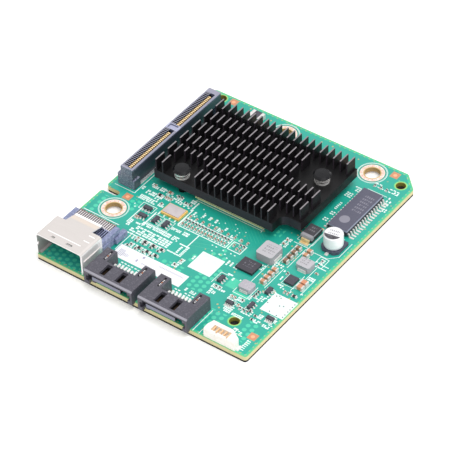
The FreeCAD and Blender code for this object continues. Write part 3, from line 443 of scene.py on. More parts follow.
def plainFinish(name):
    first, second, rough, metal, grain, bump, *nodes = plainLooks[name]
    finish = Finish(name)
    cloud = finish.noise(grain, 3)
    mix = (cloud * 0.6 + finish.noise(grain / 9) * 0.4).between(0.42, 0.9, 0.3)
    finish.colour = finish.blend(mix, first, second)
    material = finish.shine(Roughness=rough + (cloud - 0.5) * 0.16, Metallic=metal,
                            Normal=finish.bump(cloud, bump))
    for node in nodes:
        paint(node, material)
    return material


# heat sink: black anodised, with painted highlights on the fin tops and painted sheen on the faces turned to
# the front
sinkLook = {
    "fin": (11, 10, 12), "finPale": (25, 23, 26), "front": (54, 46, 55), "crown": (138, 133, 137),
    "crownDepth": 0.4,
}


def sinkFinish():
    look = sinkLook
    finish = Finish("blackAnodised")
    z = finish.axes()[2]
    faceY, faceZ = finish.facing()[1:]
    grain = finish.noise(1300, 3)
    crownFrom = corners("heat_sink")[1].z - look["crownDepth"]
    upward = faceZ.above(0.7, 0.2)
    crown = upward * z.above(crownFrom)
    finish.colour = finish.blend(finish.streaks(300, 300, 3000), look["fin"], look["finPale"])
    # painted sheen: faces turned to the front are lighter
    finish.lay((-faceY).above(0.6, 0.2), look["front"])
    # painted highlight: the upward faces at the fin tops are lighter
    finish.lay(crown, look["crown"])
    finish.lay(upward * z.below(crownFrom), look["fin"])
    return finish.shine(Roughness=0.36 + grain * 0.14 - crown * 0.05, Specular_IOR_Level=0.26,
                        Normal=finish.bump(grain, 0.2))


# controller laminate: pale, with a dark core line
substrateLook = {"laminate": (255, 246, 190), "core": (110, 120, 70), "coreSpan": (0.25, 0.5)}


def substrateFinish():
    look = substrateLook
    finish = Finish("packageLaminate", look["laminate"])
    z = finish.axes(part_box("controller_substrate")[0])[2]
    finish.lay(z.between(*look["coreSpan"], 0.08), look["core"])
    return finish.shine(Roughness=0.5)


# tall connector: blue grey resin, with painted glints at its front end, painted light on its top, and painted
# shade on its right sides, in its contact slots and between its comb teeth
connectorLook = {
    "resin": (112, 120, 144), "resinDark": (78, 84, 105), "rim": (150, 150, 168), "slot": (14, 14, 18),
    "speck": (168, 172, 186), "key": (176, 178, 204), "shade": (30, 33, 42), "glintDepth": 3.4,
    "slotSpan": (4.45, 7.85), "slotDepth": 4.2, "keySpan": (63.1, 65.6),
    "blocks": [(40.75, 62.95), (65.75, 84.75)], "combSpan": (4.35, 6.1), "combStarts": (41.1, 66.1),
    "combPitch": 0.8, "combGap": (0.08, 0.66),
}
# painted light and shade: tail tops lighter, tail sides darker
tailLitAndShaded = {"side": (52, 54, 64), "top": (206, 206, 212)}
# painted light and shade: contact tops lighter, faces turned front and back darker
goldLitAndShaded = {"gold": (252, 208, 142), "side": (70, 46, 26), "top": (255, 222, 166)}


def mezzanineFinish():
    look = connectorLook
    finish = Finish("connectorResin")
    low, high = corners("mezzanine_housing")
    x, y, z = finish.axes()
    facing = finish.facing()
    grain = finish.noise(900, 3)
    upward = facing[2].above(0.6, 0.2)
    top = upward * z.above(high.z - 0.3)
    front = y.below(low.y + look["glintDepth"], 0.4)
    finish.colour = finish.blend(grain, look["resin"], look["resinDark"])
    # painted glints: light specks near the front end
    finish.lay(front * finish.noise(2300).above(0.56) * 0.7, look["speck"])
    finish.lay(facing[0].above(0.5, 0.2) * z.below(high.z - 0.7, 0.6) * 0.8, look["shade"])
    # painted light: the top faces are lighter
    finish.lay(top, look["rim"])
    finish.lay(y.between(*look["keySpan"]) * upward, look["key"])
    first, second = [y.between(*block, 0.05) for block in look["blocks"]]
    # painted shade inside the contact slots, and in the gaps between the comb teeth
    slot = x.between(*look["slotSpan"], 0.04) * z.between(high.z - look["slotDepth"], high.z - 0.12)
    finish.lay(slot * (first + second), look["slot"])
    comb = x.between(*look["combSpan"], 0.04) * top
    for start, run in zip(look["combStarts"], (first, second)):
        teeth = (y - start).wrap(look["combPitch"]).between(*look["combGap"], 0.05) * run
        finish.lay(teeth * comb * 0.9, look["slot"])
    return finish.shine(Roughness=0.3 + grain * 0.14, Coat_Weight=0.2)


def mezzanineTailFinish():
    finish = Finish("mezzanineTails", tailLitAndShaded["side"])
    # painted light on the tails' upward faces
    finish.lay(finish.facing()[2].above(0.5, 0.2), tailLitAndShaded["top"])
    return finish.shine(Roughness=0.3 + finish.noise(1200) * 0.1, Metallic=0.2)


def mezzanineContactFinish():
    finish = Finish("goldContact", goldLitAndShaded["gold"])
    faceY, faceZ = finish.facing()[1:]
    # painted shade on the faces turned front and back, painted light on the tops
    finish.lay(abs(faceY).above(0.5, 0.2), goldLitAndShaded["side"])
    finish.lay(faceZ.above(0.5, 0.2), goldLitAndShaded["top"])
    return finish.shine(Roughness=0.28 + finish.noise(900) * 0.1, Metallic=0.15)


# push pins: black nylon, with painted light making them a little lighter on top
pinLitAndShaded = {"side": (5, 5, 7), "top": (17, 17, 21)}


def pinFinish():
    finish = Finish("pinNylon", pinLitAndShaded["side"])
    # painted light on the upward faces
    finish.lay(finish.facing()[2].above(0.6, 0.2), pinLitAndShaded["top"])
    return finish.shine(Roughness=0.22 + finish.noise(700) * 0.1, Specular_IOR_Level=0.26)


# mini-SAS cage: bright nickel sheet, with painted highlights on its crest, highest raised bars, right walls
# and front edges, a painted warm sheen before the crest, and painted shade low on the walls and in its slots
cageLook = {
    "sheet": (214, 208, 205), "sheetDark": (204, 197, 193), "warmSheen": (230, 214, 198),
    "bright": (253, 251, 250), "wall": (228, 221, 218), "wallLowShade": (166, 158, 156),
    "slots": [(7.2, 1.55, 8.4, 2.25), (13.0, 1.55, 15.2, 2.25)], "slot": (62, 70, 66), "crest": (14.3, 15.3),
    "warmSheenSpan": (12.2, 14.2), "brightFrom": 15.0,
}


def cageFinish():
    look = cageLook
    finish = Finish("nickelSheet")
    low, high = corners("sas_cage")
    x, y, z = finish.axes()
    brushed = finish.streaks(240, 2400, 240)
    finish.colour = finish.blend(brushed * 0.6, look["sheet"], look["sheetDark"])
    # painted shade where the slots in the top are
    for box in look["slots"]:
        finish.lay(inside(x, y, box, 0.08) * 0.8, look["slot"])
    # painted sheen: a warm band on the slope before the crest
    finish.lay(y.between(*look["warmSheenSpan"], 0.8) * 0.7, look["warmSheen"])
    # painted highlight along the crest
    finish.lay(y.between(*look["crest"], 0.12), look["bright"])
    # painted highlight on the highest raised bars and lances
    finish.lay(z.above(high.z - 0.05, 0.05), look["bright"])
    # painted shade: the walls darken towards the bottom
    wall = finish.blend((z / high.z) ** 1.4, look["wallLowShade"], look["wall"])
    # painted highlight on the walls right of x 15, and on the front edges
    wall = finish.blend(x.above(look["brightFrom"], 0.06), wall, look["bright"])
    wall = finish.blend(y.below(low.y + 0.12, 0.06), wall, look["bright"])
    flat = abs(finish.facing()[2]).above(0.55, 0.2)
    finish.colour = finish.blend(flat, wall, finish.colour)
    return finish.shine(Roughness=0.26 + brushed * 0.1, Metallic=0.4 - flat * 0.25,
                        Normal=finish.bump(brushed, 0.05))


# mini-SAS moulding: speckled blue grey, pale comb with painted shade in its slots, and its contacts
sasLook = {
    "resin": (168, 175, 204), "resinDark": (122, 130, 164), "comb": (214, 207, 208), "slot": (58, 56, 68),
    "top": 5.0, "slotDepth": 1.4, "slotFront": 11.9, "combStart": 16.3, "combSpan": (4.0, 18.1),
    "backEdge": 19.2, "leaf": (228, 222, 218), "bend": (132, 112, 96), "foot": (246, 244, 242),
    "footTop": 0.5,
}


def sasFinish():
    look = sasLook
    finish = Finish("sasResin")
    x, y, z = finish.axes()
    speck = finish.noise(1500, 3)
    across = x.between(*look["combSpan"])
    finish.colour = finish.blend(speck.between(0.4, 0.75, 0.3), look["resin"], look["resinDark"])
    finish.lay(across * y.above(look["combStart"]) * z.above(look["top"] - 0.1, 0.05), look["comb"])
    # painted shade on the faces inside the comb's slots
    slot = across * z.between(look["top"] - look["slotDepth"], look["top"] - 0.12, 0.05)
    finish.lay(slot * y.between(look["slotFront"], look["backEdge"] - 0.02, 0.05) * 0.85, look["slot"])
    return finish.shine(Roughness=0.36 + speck * 0.14)


def sasContactFinish():
    look = sasLook
    finish = Finish("sasContact", look["leaf"])
    y, z = finish.axes()[1:]
    finish.lay(y.above(look["backEdge"] - 0.25), look["bend"])
    finish.lay(z.below(look["footTop"]), look["foot"])
    return finish.shine(Roughness=0.28 + finish.noise(1600) * 0.12, Metallic=0.2)


# SATA plugs: grained dark resin, painted highlights on the front rims, a pale tongue, painted shade inside,
# and their contacts
plugLook = {
    "resin": (110, 108, 119), "resinDark": (74, 72, 82), "rim": (156, 154, 164), "tongue": (138, 140, 158),
    "inner": (20, 20, 23), "left": 21.9, "pitch": 20.7, "width": 18.4, "height": 4.9, "wall": 1.75,
    "roof": 1.05, "cavityDepth": (-0.35, 4.35), "tongueSpan": (0.9, 2.35), "contact": (74, 58, 44),
    "tail": (246, 244, 242), "tailFrom": 4.8,
}


def plugFinish():
    look = plugLook
    finish = Finish("plugResin")
    x, y, z = finish.axes()
    faceY, faceZ = finish.facing()[1:]
    grain = finish.noise(1900, 3)
    forward = (-faceY).above(0.3, 0.2)
    local = (x - look["left"]).wrap(look["pitch"])
    cavity = local.between(look["wall"], look["width"] - look["wall"], 0.05) \
        * z.below(look["height"] - look["roof"], 0.05)
    finish.colour = finish.blend(grain.between(0.35, 0.75, 0.3), look["resin"], look["resinDark"])
    # painted highlight on the faces turned to the front and up
    finish.lay(forward * faceZ.above(0.3, 0.2), look["rim"])
    # painted shade inside the cavities
    finish.lay(cavity * y.between(*look["cavityDepth"]), look["inner"])
    finish.lay(cavity * z.between(*look["tongueSpan"], 0.04) * y.below(-0.3) * forward, look["tongue"])
    return finish.shine(Roughness=0.4 + grain * 0.14, Normal=finish.bump(grain, 0.3))


def plugContactFinish():
    look = plugLook
    finish = Finish("plugContact", look["contact"])
    finish.lay(finish.axes()[1].above(look["tailFrom"], 0.2), look["tail"])
    return finish.shine(Roughness=0.28 + finish.noise(1600) * 0.14, Metallic=0.2)


# board lock pins: tin with a copper coloured middle, ribbed, with painted shade in the grooves
lockLook = {
    "tin": (246, 244, 244), "copper": (230, 142, 100), "groove": (66, 58, 60), "front": 5.5,
    "copperSpan": (1.8, 2.5), "pitch": 0.58, "rib": (0.12, 0.42),
}


def lockFinish():
    look = lockLook
    finish = Finish("boardLock")
    y = finish.axes(plan(0, look["front"]))[1]
    metal = finish.blend(y.between(*look["copperSpan"], 0.2), look["tin"], look["copper"])
    # painted shade between the ribs
    finish.colour = finish.blend(y.wrap(look["pitch"]).between(*look["rib"], 0.08), look["groove"], metal)
    return finish.shine(Roughness=0.35, Metallic=0.2)


# moulded packages: slate top lit lighter and sides darker as painted light and shade, a painted highlight
# along the bevels, and broken rows where printing would be;
# a print has left, front, right, back and pitch from the package's own corner, a disc centre and radius
packageLooks = {
    "memory_chip_body": {
        "name": "memoryResin", "top": (90, 90, 108), "side": (46, 46, 56), "line": (146, 148, 170),
        "print": (2.6, 8.6, 6.2, 18.2, 1.5), "ink": (150, 148, 160), "disc": (3.5, 4.6, 1.7),
    },
    "diode_body": {
        "name": "diodeResin", "top": (66, 64, 70), "side": (40, 38, 42), "line": (164, 162, 168),
        "print": (1.0, 2.2, 3.4, 4.8, 1.3), "ink": (140, 138, 144), "band": 1.2,
    },
    "regulator_large": {
        "name": "regulatorResin", "top": (62, 60, 69), "side": (42, 40, 48), "line": (92, 90, 100),
        "print": (1.2, 1.8, 5.0, 4.6, 1.2), "ink": (128, 126, 136),
    },
    "inductor_large": {
        "name": "ferriteLarge", "top": (188, 186, 191), "side": (168, 165, 171), "line": (196, 193, 198),
        "print": (1.2, 1.6, 5.2, 5.2, 1.2), "ink": (98, 96, 102),
    },
    "inductor_medium": {
        "name": "ferriteMedium", "top": (188, 186, 191), "side": (168, 165, 171), "line": (196, 193, 198),
        "print": (0.9, 1.0, 3.6, 3.8, 1.0), "ink": (98, 96, 102),
    },
}


def packageFinish(node):
    look = packageLooks[node]
    finish = Finish(look["name"])
    low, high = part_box(node)
    x, y, z = finish.axes(low)
    faceZ = finish.facing()[2]
    grain = finish.noise(1600, 3)
    upper = z.above((high.z - low.z) / mm * 0.78)
    flat = faceZ.above(0.8)
    # painted light and shade: flat tops lighter, sides darker
    finish.colour = finish.blend(flat, look["side"], look["top"])
    finish.lay(grain * 0.35, look["side"])
    # painted highlight along the sloped bevel faces near the top
    finish.lay(faceZ.between(0.05, 0.8) * upper, look["line"])
    *box, pitch = look["print"]
    rows = y.wrap(pitch).between(pitch * 0.15, pitch * 0.7, 0.08) * x.wrap(0.7).between(0.08, 0.5)
    worn = finish.noise(1100, 1).above(0.42, 0.08)
    finish.lay(inside(x, y, box) * rows * worn * flat * upper * 0.6, look["ink"])
    if "disc" in look:
        *centre, radius = look["disc"]
        finish.lay(reach(x, y, centre).below(radius, 0.15) * flat * upper * 0.75, look["ink"])
    if "band" in look:
        # the diode's printed polarity band, in the bevel highlight's colour
        finish.lay(y.below(look["band"], 0.08) * faceZ.above(0.05, 0.05) * 0.8, look["line"])
    return finish.shine(Roughness=0.42 + grain * 0.14, Normal=finish.bump(grain, 0.25))


# paper label: plain pale bars where printing would be
labelLook = {
    "paper": (248, 248, 251), "fibre": (232, 232, 238), "ink": (168, 168, 186), "block": (150, 150, 182),
    "bars": [(24, 14, 26.2, 15.3), (37, 16.1, 46, 16.8), (31.4, 14.1, 35, 14.7), (22.2, 13.4, 24.4, 16.4)],
    "blocks": [(29.3, 14.1, 29.9, 15.2), (30.3, 16.4, 31.1, 17.3)],
}


def labelFinish():
    look = labelLook
    finish = Finish("labelPaper", look["paper"])
    x, y = finish.axes()[:2]
    finish.lay(finish.noise(700) * 0.3, look["fibre"])
    broken = x.wrap(0.52).below(0.3)
    for box in look["bars"]:
        finish.lay(inside(x, y, box) * broken * 0.7, look["ink"])
    for box in look["blocks"]:
        finish.lay(inside(x, y, box) * 0.85, look["block"])
    return finish.shine(Roughness=0.6)


# electrolytic can: white sleeve with painted shade low at its foot, silver top with a dark polarity segment
canLook = {
    "turn": (0.17, -0.985), "segment": 0.3, "segmentEdge": 0.9, "mark": (58, 56, 64),
    "sleeve": (247, 247, 249), "sleeveDark": (222, 222, 228), "foot": (170, 170, 184), "footShadeHeight": 0.9,
    "top": (226, 224, 228), "ink": (112, 110, 120),
}


def canFinish():
    look = canLook
    finish = Finish("canAluminium", look["sleeve"])
    low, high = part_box("capacitor_can")
    x, y, z = finish.axes((low + high) / 2)
    radius = (high.x - low.x) / 2 / mm
    height = (high.z - low.z) / 2 / mm
    top = finish.facing()[2].above(0.5, 0.2)
    grain = finish.noise(1200, 3)
    across = x * look["turn"][0] + y * look["turn"][1]
    off = x * look["turn"][1] - y * look["turn"][0]
    strokes = across.wrap(radius * 0.42).below(radius * 0.2, 0.08) * off.wrap(0.62).below(0.36, 0.08)
    strokes = strokes * across.between(-radius * 0.6, radius * 0.2) * off.between(-1.7, 1.5, 0.2)
    segment = across.above(radius * look["segment"], 0.08) \
        * distance(x, y).below(radius * look["segmentEdge"])
    finish.lay(grain * 0.4, look["sleeveDark"])
    # painted shade low on the sleeve
    finish.lay(z.below(look["footShadeHeight"] - height, 0.2) * 0.4, look["foot"])
    finish.lay(top * grain, look["top"])
    finish.lay(top * strokes * 0.7, look["ink"])
    finish.lay(top * segment * (0.75 + grain * 0.4), look["mark"])
    return finish.shine(Roughness=0.3 + grain * 0.1, Metallic=0.12)


# repeated small things: one tree of tapered blocks in rows, one of blocks on given points
def makeTree(name, **sockets):
    tree = bpy.data.node_groups.new(name, "GeometryNodeTree")
    for label, kind in sockets.items():
        tree.interface.new_socket(label, in_out="INPUT", socket_type="NodeSocket" + kind)
    tree.interface.new_socket("Mesh", in_out="OUTPUT", socket_type="NodeSocketGeometry")
    return tree, dict(zip(sockets, addNode(tree, "NodeGroupInput").fan()))


# square block of unit size standing on its base, narrower above by the share in top
def unitBlock(tree, top):
    corner = math.sqrt(0.5)
    cone = addNode(tree, "GeometryNodeMeshCone", {"fill_type": "NGON"}, Vertices=4,
                   Radius_Bottom=corner, Radius_Top=top * corner, Depth=1.0)
    return addNode(tree, "GeometryNodeTransform", Geometry=cone, Rotation=(0, 0, math.pi / 4))


def closeTree(tree, instances, material):
    real = addNode(tree, "GeometryNodeRealizeInstances", Geometry=instances)
    done = addNode(tree, "GeometryNodeSetMaterial", Geometry=real, Material=material)
    addNode(tree, "NodeGroupOutput", Mesh=done)
    return tree


def vectorNode(tree, operation, *given):
    return addNode(tree, "ShaderNodeVectorMath", {"operation": operation}, given=given)


def makeRowsTree():
    tree, value = makeTree("blockRows", Columns="Int", Rows="Int", Seed="Int", Start="Vector", Step="Vector",
                           Size="Vector", Top="Float", Fill="Float", Jitter="Float", Material="Material")
    index = addNode(tree, "GeometryNodeInputIndex")
    row = ((index + 0.5) / value["Columns"]).floor()
    column = index - row * value["Columns"]
    cell = addNode(tree, "ShaderNodeCombineXYZ", X=column, Y=row)
    run = vectorNode(tree, "MULTIPLY", cell, value["Step"])
    loose = addNode(tree, "FunctionNodeRandomValue", {"data_type": "FLOAT_VECTOR"}, ID=index,
                    Seed=value["Seed"], Min=(-1, -1, 0), Max=(1, 1, 0))
    drift = vectorNode(tree, "SCALE", loose, value["Jitter"])
    place = vectorNode(tree, "ADD", vectorNode(tree, "ADD", value["Start"], run), drift)
    points = addNode(tree, "GeometryNodePoints", Count=value["Columns"] * value["Rows"], Position=place)
    kept = addNode(tree, "FunctionNodeRandomValue", {"data_type": "BOOLEAN"}, ID=index,
                   Seed=value["Seed"] + 1, Probability=value["Fill"])
    instances = addNode(tree, "GeometryNodeInstanceOnPoints", Points=points, Selection=kept,
                        Instance=unitBlock(tree, value["Top"]), Scale=value["Size"])
    return closeTree(tree, instances, value["Material"])


def makeSpotsTree():
    tree, value = makeTree("blocksOnSpots", Spots="Geometry", Top="Float", Material="Material")
    size = addNode(tree, "GeometryNodeInputNamedAttribute", {"data_type": "FLOAT_VECTOR"}, Name="size")
    instances = addNode(tree, "GeometryNodeInstanceOnPoints", Points=value["Spots"],
                        Instance=unitBlock(tree, value["Top"]), Scale=size)
    return closeTree(tree, instances, value["Material"])


# runs a tree once with its named inputs and gives back a plain mesh
def grow(tree, start, **inputs):
    holder = bpy.data.objects.new("holder", start or bpy.data.meshes.new("holder"))
    bpy.context.collection.objects.link(holder)
    modifier = holder.modifiers.new("grow", "NODES")
    modifier.node_group = tree
    for item in tree.interface.items_tree:
        if item.in_out == "INPUT" and item.name in inputs:
            modifier[item.identifier] = inputs[item.name]
    graph = bpy.context.evaluated_depsgraph_get()
    mesh = bpy.data.meshes.new_from_object(holder.evaluated_get(graph))
    holder.modifiers.remove(modifier)
    bpy.data.objects.remove(holder)
    dress(mesh, inputs["Material"])  # the holder's empty first slot goes
    return mesh


def joinPiece(name, meshes):
    merged = bmesh.new()
    for mesh in meshes:
        merged.from_mesh(mesh)
    data = bpy.data.meshes.new(name)
    merged.to_mesh(data)
    merged.free()
    data.materials.append(meshes[0].materials[0])
    piece = bpy.data.objects.new(name, data)
    bpy.context.collection.objects.link(piece)
    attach(piece, "root")
    print(name, len(data.polygons), "faces")


rowsTree = makeRowsTree()
spotsTree = makeSpotsTree()


# rows of blocks in board millimetres: first centre, size of each, step and count across and back
def growRows(start, size, material, step=(0, 0), count=(1, 1), top=1.0, fill=1.0, jitter=0.0, seed=0):
    return grow(rowsTree, None, Columns=count[0], Rows=count[1], Start=tuple(plan(*start)),
                Step=(step[0] * mm, step[1] * mm, 0.0), Size=tuple(v * mm for v in size),
                Top=top, Fill=float(fill), Jitter=jitter * mm, Seed=seed, Material=material)


# printed marks in white ink: bars of blank letters, frames and broken fields
marks = {
    "thickness": 0.03, "fieldDrift": 0.08,
    # blank letters: width, depth and the share of both that is inked
    "letter": (0.6, 0.78, 0.8), "letterFill": 0.93, "letterDrift": 0.05,
    # bars: left, front, right, back
    "bars": [
        (9.6, 39, 9.85, 50), (1.8, 38.9, 9.8, 39.1), (11.8, 44.3, 14.8, 46.3), (15.3, 44.3, 17.3, 46.2),
        (10.1, 41.8, 11, 43.5), (12.4, 40.9, 16, 42.8), (16.4, 40.2, 18.7, 42.1), (11.9, 37.8, 15, 40),
        (19.2, 38.2, 21.4, 40), (27, 45.1, 28.9, 46.9), (29.2, 42.2, 29.9, 46.6), (29.8, 34.9, 30.2, 43),
        (15.8, 27, 16.15, 36.7), (16.3, 25.8, 17.5, 29), (18, 27.9, 20.4, 28.8), (20.9, 28, 21.2, 35.8),
        (20.7, 15, 20.95, 24), (20.4, 28.4, 29, 30.1), (38.4, 28.4, 38.75, 34.4), (34.2, 23.4, 39.6, 24.1),
        (38.6, 24, 39.6, 28.4), (36.9, 24.3, 37.8, 27.6), (35.8, 28, 39.6, 28.5), (29, 31.9, 33, 33.1),
        (33.8, 31.8, 36, 33.5), (28.6, 28.2, 31.6, 30.1), (32.2, 28.2, 34.5, 30.2), (31, 41, 31.8, 42.8),
        (34, 41.8, 34.9, 43.5), (36.4, 41.8, 37.4, 43.6), (38.7, 41.8, 39.6, 43.7), (43.4, 40.9, 44.3, 42.4),
        (41.6, 39.2, 42.7, 40.6), (46.7, 39.2, 47.9, 40.6), (50, 39.2, 51, 40.6), (28, 47.85, 53.3, 48.07),
        (53.3, 46.6, 53.5, 49), (28, 47.15, 53.3, 47.35), (42.8, 24.7, 43.6, 26.6), (49.2, 12.4, 50.1, 13.9),
        (51.3, 12.3, 53.4, 13.7), (52.8, 28.5, 53.6, 30.9), (54.2, 28.7, 55, 30.8), (40.3, 20.9, 41.9, 23.4),
        (39.3, 18.9, 41.5, 20.8), (53.95, 20, 54.15, 25.3), (54, 25.2, 57, 25.4), (55, 18.3, 58.4, 20.2),
        (58.6, 18.3, 60.1, 19.3), (55.5, 15.4, 56.5, 18), (56.7, 16.1, 57.9, 17.4), (56.1, 25.6, 57.9, 26.2),
        (58.4, 24.1, 59.2, 25.4), (67.1, 20.2, 67.35, 26), (61.8, 20.2, 62, 22.5), (62, 20.2, 67.2, 20.4),
        (64.8, 17.9, 67.7, 19.7), (63.6, 12, 66.6, 14.2), (67.2, 12, 71.2, 13.2), (74.4, 13.1, 76.6, 14.6),
        (74.4, 15.2, 76, 17.2), (77.6, 13.1, 80.1, 14.3), (79.4, 16.7, 80.4, 17.6), (61.7, 0.2, 61.95, 10.4),
        (64, 0.2, 64.2, 2.2), (77.85, 1, 78.05, 6.4), (71.5, 7.8, 73, 8.3), (61.4, 45.1, 62.3, 49.4),
        (62.8, 45.1, 63.7, 49.4), (65.9, 38.2, 66.1, 48), (69.3, 38.2, 69.5, 48), (77, 43.4, 80, 43.7),
        (77, 44.8, 80, 45.1), (77.3, 37.2, 79.7, 38.8), (69.3, 35.1, 70, 36.9), (70.3, 32.5, 70.9, 34.4),
        (71.2, 30.3, 73.3, 31.1), (76.1, 29.6, 77.1, 30.4), (79.4, 30.8, 80.2, 31.2), (76.9, 37, 77.1, 43),
        (64.4, 48.8, 70.1, 49), (69.7, 48.1, 69.9, 58.2), (69.7, 48.1, 77.2, 48.3), (79.7, 50.8, 79.9, 58),
        (75, 43.1, 75.2, 48), (78.1, 43.6, 78.3, 47.9), (75, 47.8, 78.3, 48), (0.9, 24.2, 15, 24.5),
        (63.8, 27, 64, 37), (68.8, 27, 69, 37), (70.2, 58.2, 76.8, 58.4), (69.4, 82, 76.6, 82.2),
        (75.9, 30.5, 76.1, 38), (79.5, 30.5, 79.7, 38),
    ],
    # frames: left, front, right, back, line width
    "frames": [
        (30.1, 34.5, 48.6, 38.95, 0.3), (49.1, 34.6, 54.1, 38.6, 0.3), (14.8, 34.2, 20.2, 37.3, 0.2),
        (71.6, 31.6, 76.4, 36.4, 0.15), (21.2, 30.2, 25.2, 34.9, 0.15), (25.4, 30.2, 29.2, 34.9, 0.15),
        (64.4, 50.4, 70.2, 57.8, 0.15), (63, 14, 65.9, 17.4, 0.12), (77, 15.3, 79.8, 18.5, 0.12),
    ],
    # broken fields: left, front, columns, rows, step across, step back, width, depth, share kept
    "fields": [
        (15.2, 38.2, 4, 3, 0.9, 0.7, 0.7, 0.5, 0.85), (18.4, 42.2, 4, 4, 0.8, 0.7, 0.55, 0.5, 0.7),
        (21.7, 43.1, 4, 4, 0.8, 0.8, 0.6, 0.6, 0.75), (25, 42.8, 5, 3, 0.8, 0.75, 0.65, 0.55, 0.8),
        (22, 35.9, 4, 1, 2.1, 1, 0.5, 1.4, 1), (17.6, 44.2, 4, 3, 0.8, 0.7, 0.6, 0.5, 0.5),
        (19.4, 24.6, 12, 4, 1.25, 0.85, 1, 0.62, 0.82), (19.4, 23.4, 12, 1, 1.25, 1, 1.1, 0.5, 1),
        (22.1, 21.9, 11, 3, 1.1, 0.75, 0.62, 0.5, 0.72), (22.1, 18.5, 11, 3, 1.1, 0.8, 0.62, 0.55, 0.72),
        (30.8, 35.3, 15, 2, 1.22, 2, 0.4, 0.45, 0.9), (30.8, 36.9, 15, 2, 1.22, 1.7, 0.4, 0.35, 0.9),
        (31, 39.1, 10, 2, 1.2, 1.6, 0.5, 0.5, 0.75), (0.9, 23.5, 14, 1, 1, 1, 0.6, 0.5, 0.9),
        (67.9, 20.4, 5, 5, 0.9, 0.75, 0.62, 0.5, 0.7), (62.4, 17.2, 4, 3, 0.8, 0.8, 0.6, 0.55, 0.5),
        (65.4, 14.7, 8, 3, 0.95, 0.8, 0.7, 0.45, 0.65), (71.8, 6.4, 5, 3, 0.85, 0.6, 0.6, 0.35, 0.8),
        (78.4, 2, 1, 6, 1, 0.8, 1.4, 0.3, 1), (79.3, 13.3, 2, 6, 0.8, 0.8, 0.6, 0.4, 0.6),
        (65.6, 36.2, 4, 3, 0.8, 0.9, 0.5, 0.6, 0.75), (72, 23.6, 3, 8, 0.9, 0.9, 0.5, 0.5, 0.35),
        (75.4, 43.6, 3, 5, 0.9, 0.85, 0.6, 0.5, 0.55), (61, 25.6, 6, 1, 0.8, 1, 0.55, 0.5, 0.7),
        (70.6, 84.5, 7, 2, 1.3, 1.4, 0.9, 0.4, 0.7), (77.6, 79, 2, 5, 1.1, 1.5, 0.5, 0.9, 0.7),
        (66, 62.4, 2, 2, 0.95, 1, 0.6, 0.5, 1), (66.2, 65.9, 2, 2, 0.9, 1, 0.6, 0.5, 0.9),
        (66.2, 68.8, 1, 5, 1, 0.75, 0.8, 0.4, 1), (65.2, 75.6, 3, 3, 0.85, 0.8, 0.6, 0.5, 0.9),
        (66, 79.2, 3, 3, 0.85, 0.8, 0.6, 0.5, 0.8), (79, 75.9, 2, 2, 0.8, 0.9, 0.5, 0.6, 1),
        (26.4, 9.6, 7, 3, 1.27, 0.95, 0.8, 0.45, 0.8), (47, 9.6, 7, 3, 1.27, 0.95, 0.8, 0.45, 0.8),
        (56, 29, 2, 3, 0.9, 0.9, 0.6, 0.5, 0.8), (62.6, 33, 2, 3, 0.8, 0.9, 0.5, 0.6, 0.8),
        (12.8, 33, 2, 4, 0.9, 1.1, 0.4, 0.5, 0.3), (44.6, 31.2, 8, 3, 1.4, 1.1, 0.5, 0.4, 0.3),
        (40.8, 11, 5, 3, 1.2, 0.9, 0.5, 0.4, 0.35), (2.8, 87.6, 7, 2, 2.1, 1.4, 1, 0.4, 0.4),
        (32.6, 41.4, 12, 4, 1.55, 1.2, 0.35, 0.35, 0.3),
    ],
    # chamfer strokes: start, end, width
    "strokes": [((77.2, 48.2), (79.8, 50.9), 0.2)],
    # solid fields, and the dark dots on the right one
    "sheets": [(43.9, 21.4, 52.3, 29.6), (72.9, 18.9, 81.2, 27.2)],
    "dots": [(74, 26.2), (74.8, 26.7), (75.6, 26.2), (80.7, 26.2), (80.7, 24.9), (80.7, 23.6), (80.7, 22.5),
             (80.7, 21), (80.7, 19.8), (77.2, 23.2), (78.3, 23.7), (73.4, 22.4), (76, 19.7), (78.7, 19.4)],
    "dotSize": 0.36,
}


# marks that cross differ a little in height, so no two tops share a plane
def inkHeight(number):
    return marks["thickness"] * (1 + 0.05 * (number % 11))


def bar(left, front, right, back, material, number=0):
    return growRows(((left + right) / 2, (front + back) / 2),
                    (right - left, back - front, inkHeight(number)), material)


def makeSheetDots(material):
    size = marks["dotSize"]
    block = (size, size, marks["thickness"] * 3)
    joinPiece("sheetDots", [growRows(spot, block, material) for spot in marks["dots"]])


def makePrint(material):
    grown = [bar(*box, material) for box in marks["sheets"]]
    for start, end, width in marks["strokes"]:
        pieces = round(math.dist(start, end) / width)
        for step in range(pieces + 1):
            x, y = [a + (b - a) * step / pieces for a, b in zip(start, end)]
            grown.append(bar(x - width / 2, y - width / 2, x + width / 2, y + width / 2, material))
    letterWidth, letterDepth, share = marks["letter"]
    for number, (left, front, right, back) in enumerate(marks["bars"]):
        if min(right - left, back - front) < letterWidth:
            grown.append(bar(left, front, right, back, material, number))
            continue
        columns = max(1, round((right - left) / letterWidth))
        rows = max(1, round((back - front) / letterDepth))
        across = (right - left) / columns
        along = (back - front) / rows
        grown.append(growRows((left + across / 2, front + along / 2),
                              (across * share, along * share, inkHeight(number)), material, (across, along),
                              (columns, rows), fill=marks["letterFill"], jitter=marks["letterDrift"],
                              seed=number))
    for number, (left, front, right, back, line) in enumerate(marks["frames"]):
        sides = ((left, front, right, front + line), (left, back - line, right, back),
                 (left, front + line, left + line, back - line),
                 (right - line, front + line, right, back - line))
        for side, box in enumerate(sides):
            grown.append(bar(*box, material, number * 3 + side + 5))
    for number, (left, front, columns, rows, across, along, width, depth, kept) in enumerate(marks["fields"]):
        grown.append(growRows((left, front), (width, depth, inkHeight(number + 0.5)), material,
                              (across, along), (columns, rows), fill=kept, jitter=marks["fieldDrift"],
                              seed=number + 3))
    joinPiece("boardPrint", grown)


